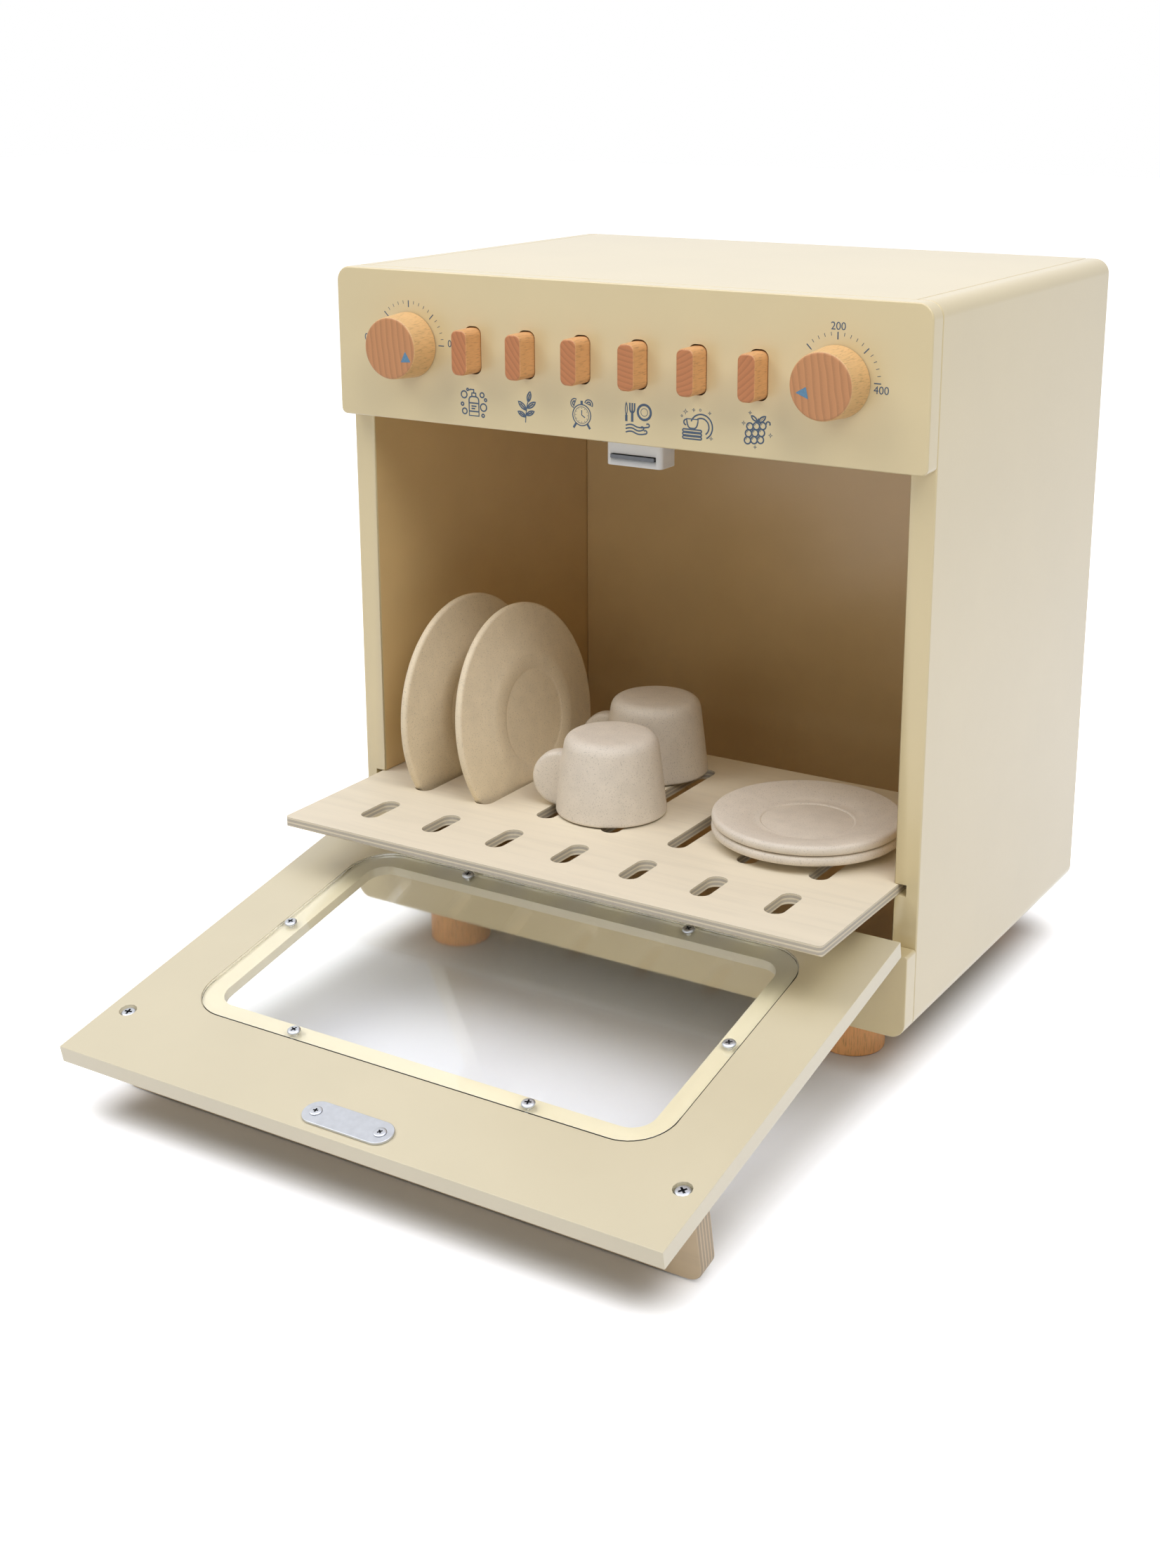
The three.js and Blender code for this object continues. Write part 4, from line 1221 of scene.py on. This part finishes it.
class PrintFascia(bpy.types.Operator):
    """Prints the dials' marks, the numbers and the small pictures."""

    bl_idname = "dishwasher.prints"
    bl_label = "Prints"

    def execute(self, context):
        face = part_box("control_fascia")[0].y
        dial_z, pictures_z, marks_end = 311.0, 286.8, 19.7
        for side in SIDES:
            centre = (middle(f"knob_{side}").x * 1000, dial_z)
            marks = []
            for step in range(16):
                start, width = (16.6, 0.55) if step % 5 == 0 else (18.2, 0.3)
                ends = [at_angle(centre, r, 135 - 9 * step) for r in (start, marks_end)]
                marks.append(stroke("mark", ends, width))
            self.lay(joined(marks, f"dial_marks_{side}"), face)
        numbers = (
            ("0", -133.5, 312.2), ("0", -85.7, 312.2), ("200", 108.7, 332.9), ("400", 128.5, 308.2)
        )
        for i, (figure, x, z) in enumerate(numbers):
            text = added(bpy.ops.object.text_add, "number")
            text.data.body = figure
            text.data.size = mm(4.6)
            text.data.align_x = "CENTER"
            text.data.align_y = "CENTER"
            text.data.extrude = mm(0.02)
            bpy.ops.object.convert(target="MESH")
            piece = bpy.context.object
            piece.name = f"dial_number_{i + 1}"
            placed(piece, Matrix.Translation((mm(x), 0, mm(z))) @ FRONTWARDS)
            self.lay(piece, face)
        for i, picture in enumerate(PICTURES):
            x = middle(f"button_{i + 1}").x * 1000
            strokes = [
                stroke("line", [(x + px, pictures_z + pz) for px, pz in points], width, closed)
                for points, closed, width in picture()
            ]
            self.lay(joined(strokes, f"picture_{picture.__name__}"), face)
        return {"FINISHED"}

    def lay(self, piece, face):
        """Flattens a print on the board's face, with its back just above the lacquer."""
        depth, gap = sizes().print_proud, mm(0.004)
        places = [vertex.co.y for vertex in piece.data.vertices]
        low, high = min(places), max(places)
        for vertex in piece.data.vertices:
            vertex.co.y = face - depth * (high - vertex.co.y) / (high - low) - gap
        dressed(piece, "slate_ink", "cabinet", "cream_paint")


class SetStage(bpy.types.Operator):
    """Sets the floor, the lamps, the world and the camera."""

    bl_idname = "dishwasher.stage"
    bl_label = "Stage"

    def execute(self, context):
        scene = context.scene
        scene.view_settings.view_transform = "Standard"
        self.floor()
        self.world(scene)
        lamps = (
            # name, degrees round from the front, degrees up, distance, size, watts, colour
            ("left_softbox", -55, 50, 1.7, 0.9, 10.5, (1, 1, 1)),
            ("right_softbox", 60, 50, 1.7, 0.9, 12.3, (1, 1, 1)),
            ("front_fill", 8, 14, 2.0, 1.0, 3.2, (1, 0.99, 0.97)),
            ("overhead", 0, 84, 1.6, 1.2, 8.6, (0.88, 0.92, 1.2)),
        )
        middle_of_part = Vector((0, 0, mm(160)))
        for name, around, above, distance, size, watts, colour in lamps:
            light = bpy.data.lights.new(name, "AREA")
            light.size = size
            light.energy = watts
            light.color = colour
            lamp = linked(name, light)
            turn = Matrix.Rotation(math.radians(around), 3, "Z")
            rise = Matrix.Rotation(math.radians(-above), 3, "X")
            away = turn @ rise @ Vector((0, -distance, 0))
            lamp.location = middle_of_part + away
            lamp.rotation_euler = (-away).to_track_quat("-Z", "Y").to_euler()
        self.camera(scene)
        return {"FINISHED"}

    def floor(self):
        """A pale floor that keeps the shadow near the object and shows as white away from it."""
        floor = added(bpy.ops.mesh.primitive_plane_add, "floor", size=14, location=(0, 0, 0))
        tree, shader, place = blank_material("studio_floor", 0.7)
        dust = noise(tree, place["Object"], 90)
        wired(tree, shader, ramp(tree, dust, (0.2, linear("#DAD9DA")), (0.8, linear("#E0DFE0"))))
        shader.inputs["Specular IOR Level"].default_value = 0.1
        parts = add_node(tree, "SeparateXYZ", {"Vector": place["Object"]})
        shadow_inside, white_after = mm(25), mm(45)
        beyond = []
        for axis in (0, 1):
            size = calculate(tree, "ABSOLUTE", parts.outputs[axis])
            reach = calculate(tree, "SUBTRACT", size, cad_box[1][axis] - shadow_inside)
            beyond.append(calculate(tree, "MAXIMUM", reach, 0))
        away = add_node(tree, "CombineXYZ", {"X": beyond[0], "Y": beyond[1]})
        links = {0: away.outputs[0]}
        far = add_node(tree, "VectorMath", links, operation="LENGTH").outputs["Value"]
        white = ranged(tree, far, 0, white_after, interpolation_type="SMOOTHSTEP")
        strength = calculate(tree, "MULTIPLY", white, self.seen(tree, 1.0, 0))
        glow = add_node(tree, "Emission", {"Strength": strength})
        both = add_node(tree, "AddShader", {0: shader.outputs[0], 1: glow.outputs[0]})
        tree.links.new(both.outputs[0], tree.nodes["Material Output"].inputs["Surface"])
        floor.data.materials.append(bpy.data.materials["studio_floor"])

    def seen(self, tree, shown, otherwise):
        """One strength for rays of the eye, a gloss or a clear sheet, another for the rest."""
        path = add_node(tree, "LightPath").outputs
        direct = calculate(tree, "MAXIMUM", path["Is Camera Ray"], path["Is Glossy Ray"])
        any_seen = calculate(tree, "MAXIMUM", direct, path["Is Transmission Ray"])
        return ranged(tree, any_seen, 0, 1, otherwise, shown)

    def world(self, scene):
        world = bpy.data.worlds.new("studio")
        world.use_nodes = True
        scene.world = world
        tree = world.node_tree
        background = tree.nodes["Background"]
        background.inputs["Color"].default_value = (1, 1, 1, 1)
        tree.links.new(self.seen(tree, 1.0, 0.22), background.inputs["Strength"])

    def camera(self, scene):
        """The photograph's camera, fitted to the cabinet's, door's and rack's straight edges."""
        turn, rise, roll = (math.radians(a) for a in (31.749, 15.813, -0.099))
        level = Vector((math.cos(turn), math.sin(turn), 0))
        forwards = Vector((-math.sin(turn), math.cos(turn), 0))
        ahead = math.cos(rise) * forwards - math.sin(rise) * Vector((0, 0, 1))
        over = level.cross(ahead)
        right = math.cos(roll) * level + math.sin(roll) * over
        up = -math.sin(roll) * level + math.cos(roll) * over
        place = Vector((mm(461.3), mm(-753.86), mm(437.1)))
        lens = bpy.data.cameras.new("camera")
        lens.lens = 46.56
        lens.sensor_width = 36
        lens.shift_x = -0.0157
        lens.shift_y = -0.0960
        lens.clip_start = 0.01
        camera = linked("camera", lens)
        axes = Matrix((right, up, -ahead)).transposed().to_4x4()
        camera.matrix_world = Matrix.Translation(place) @ axes
        scene.camera = camera


PIECES = (
    MakeFinishes,
    EaseCabinet,
    EaseDoor,
    EaseRack,
    EaseButtons,
    WindSprings,
    TurnKnobs,
    TurnFeet,
    PressDishes,
    ShapeCups,
    DriveScrews,
    FitHardware,
    PrintFascia,
    SetStage,
)


class DishwasherPanel(bpy.types.Panel):
    """Lists the dishwasher's sizes, colours and pieces."""

    bl_idname = "VIEW3D_PT_dishwasher"
    bl_label = "Toy dishwasher"
    bl_space_type = "VIEW_3D"
    bl_region_type = "UI"
    bl_category = "Dishwasher"

    def draw(self, context):
        column = self.layout.column()
        for group in (sizes(), colours()):
            for name in group.__annotations__:
                column.prop(group, name)
        for operator in PIECES:
            column.operator(operator.bl_idname)


def register():
    for kind in (DishwasherSizes, DishwasherColours, *PIECES, DishwasherPanel):
        bpy.utils.register_class(kind)
    bpy.types.Scene.dishwasher_sizes = bpy.props.PointerProperty(type=DishwasherSizes)
    bpy.types.Scene.dishwasher_colours = bpy.props.PointerProperty(type=DishwasherColours)


def unregister():
    del bpy.types.Scene.dishwasher_colours
    del bpy.types.Scene.dishwasher_sizes
    for kind in reversed((DishwasherSizes, DishwasherColours, *PIECES, DishwasherPanel)):
        bpy.utils.unregister_class(kind)


def main():
    register()
    for operator in PIECES:
        area, name = operator.bl_idname.split(".")
        getattr(getattr(bpy.ops, area), name)()


if __name__ == "__main__":
    main()
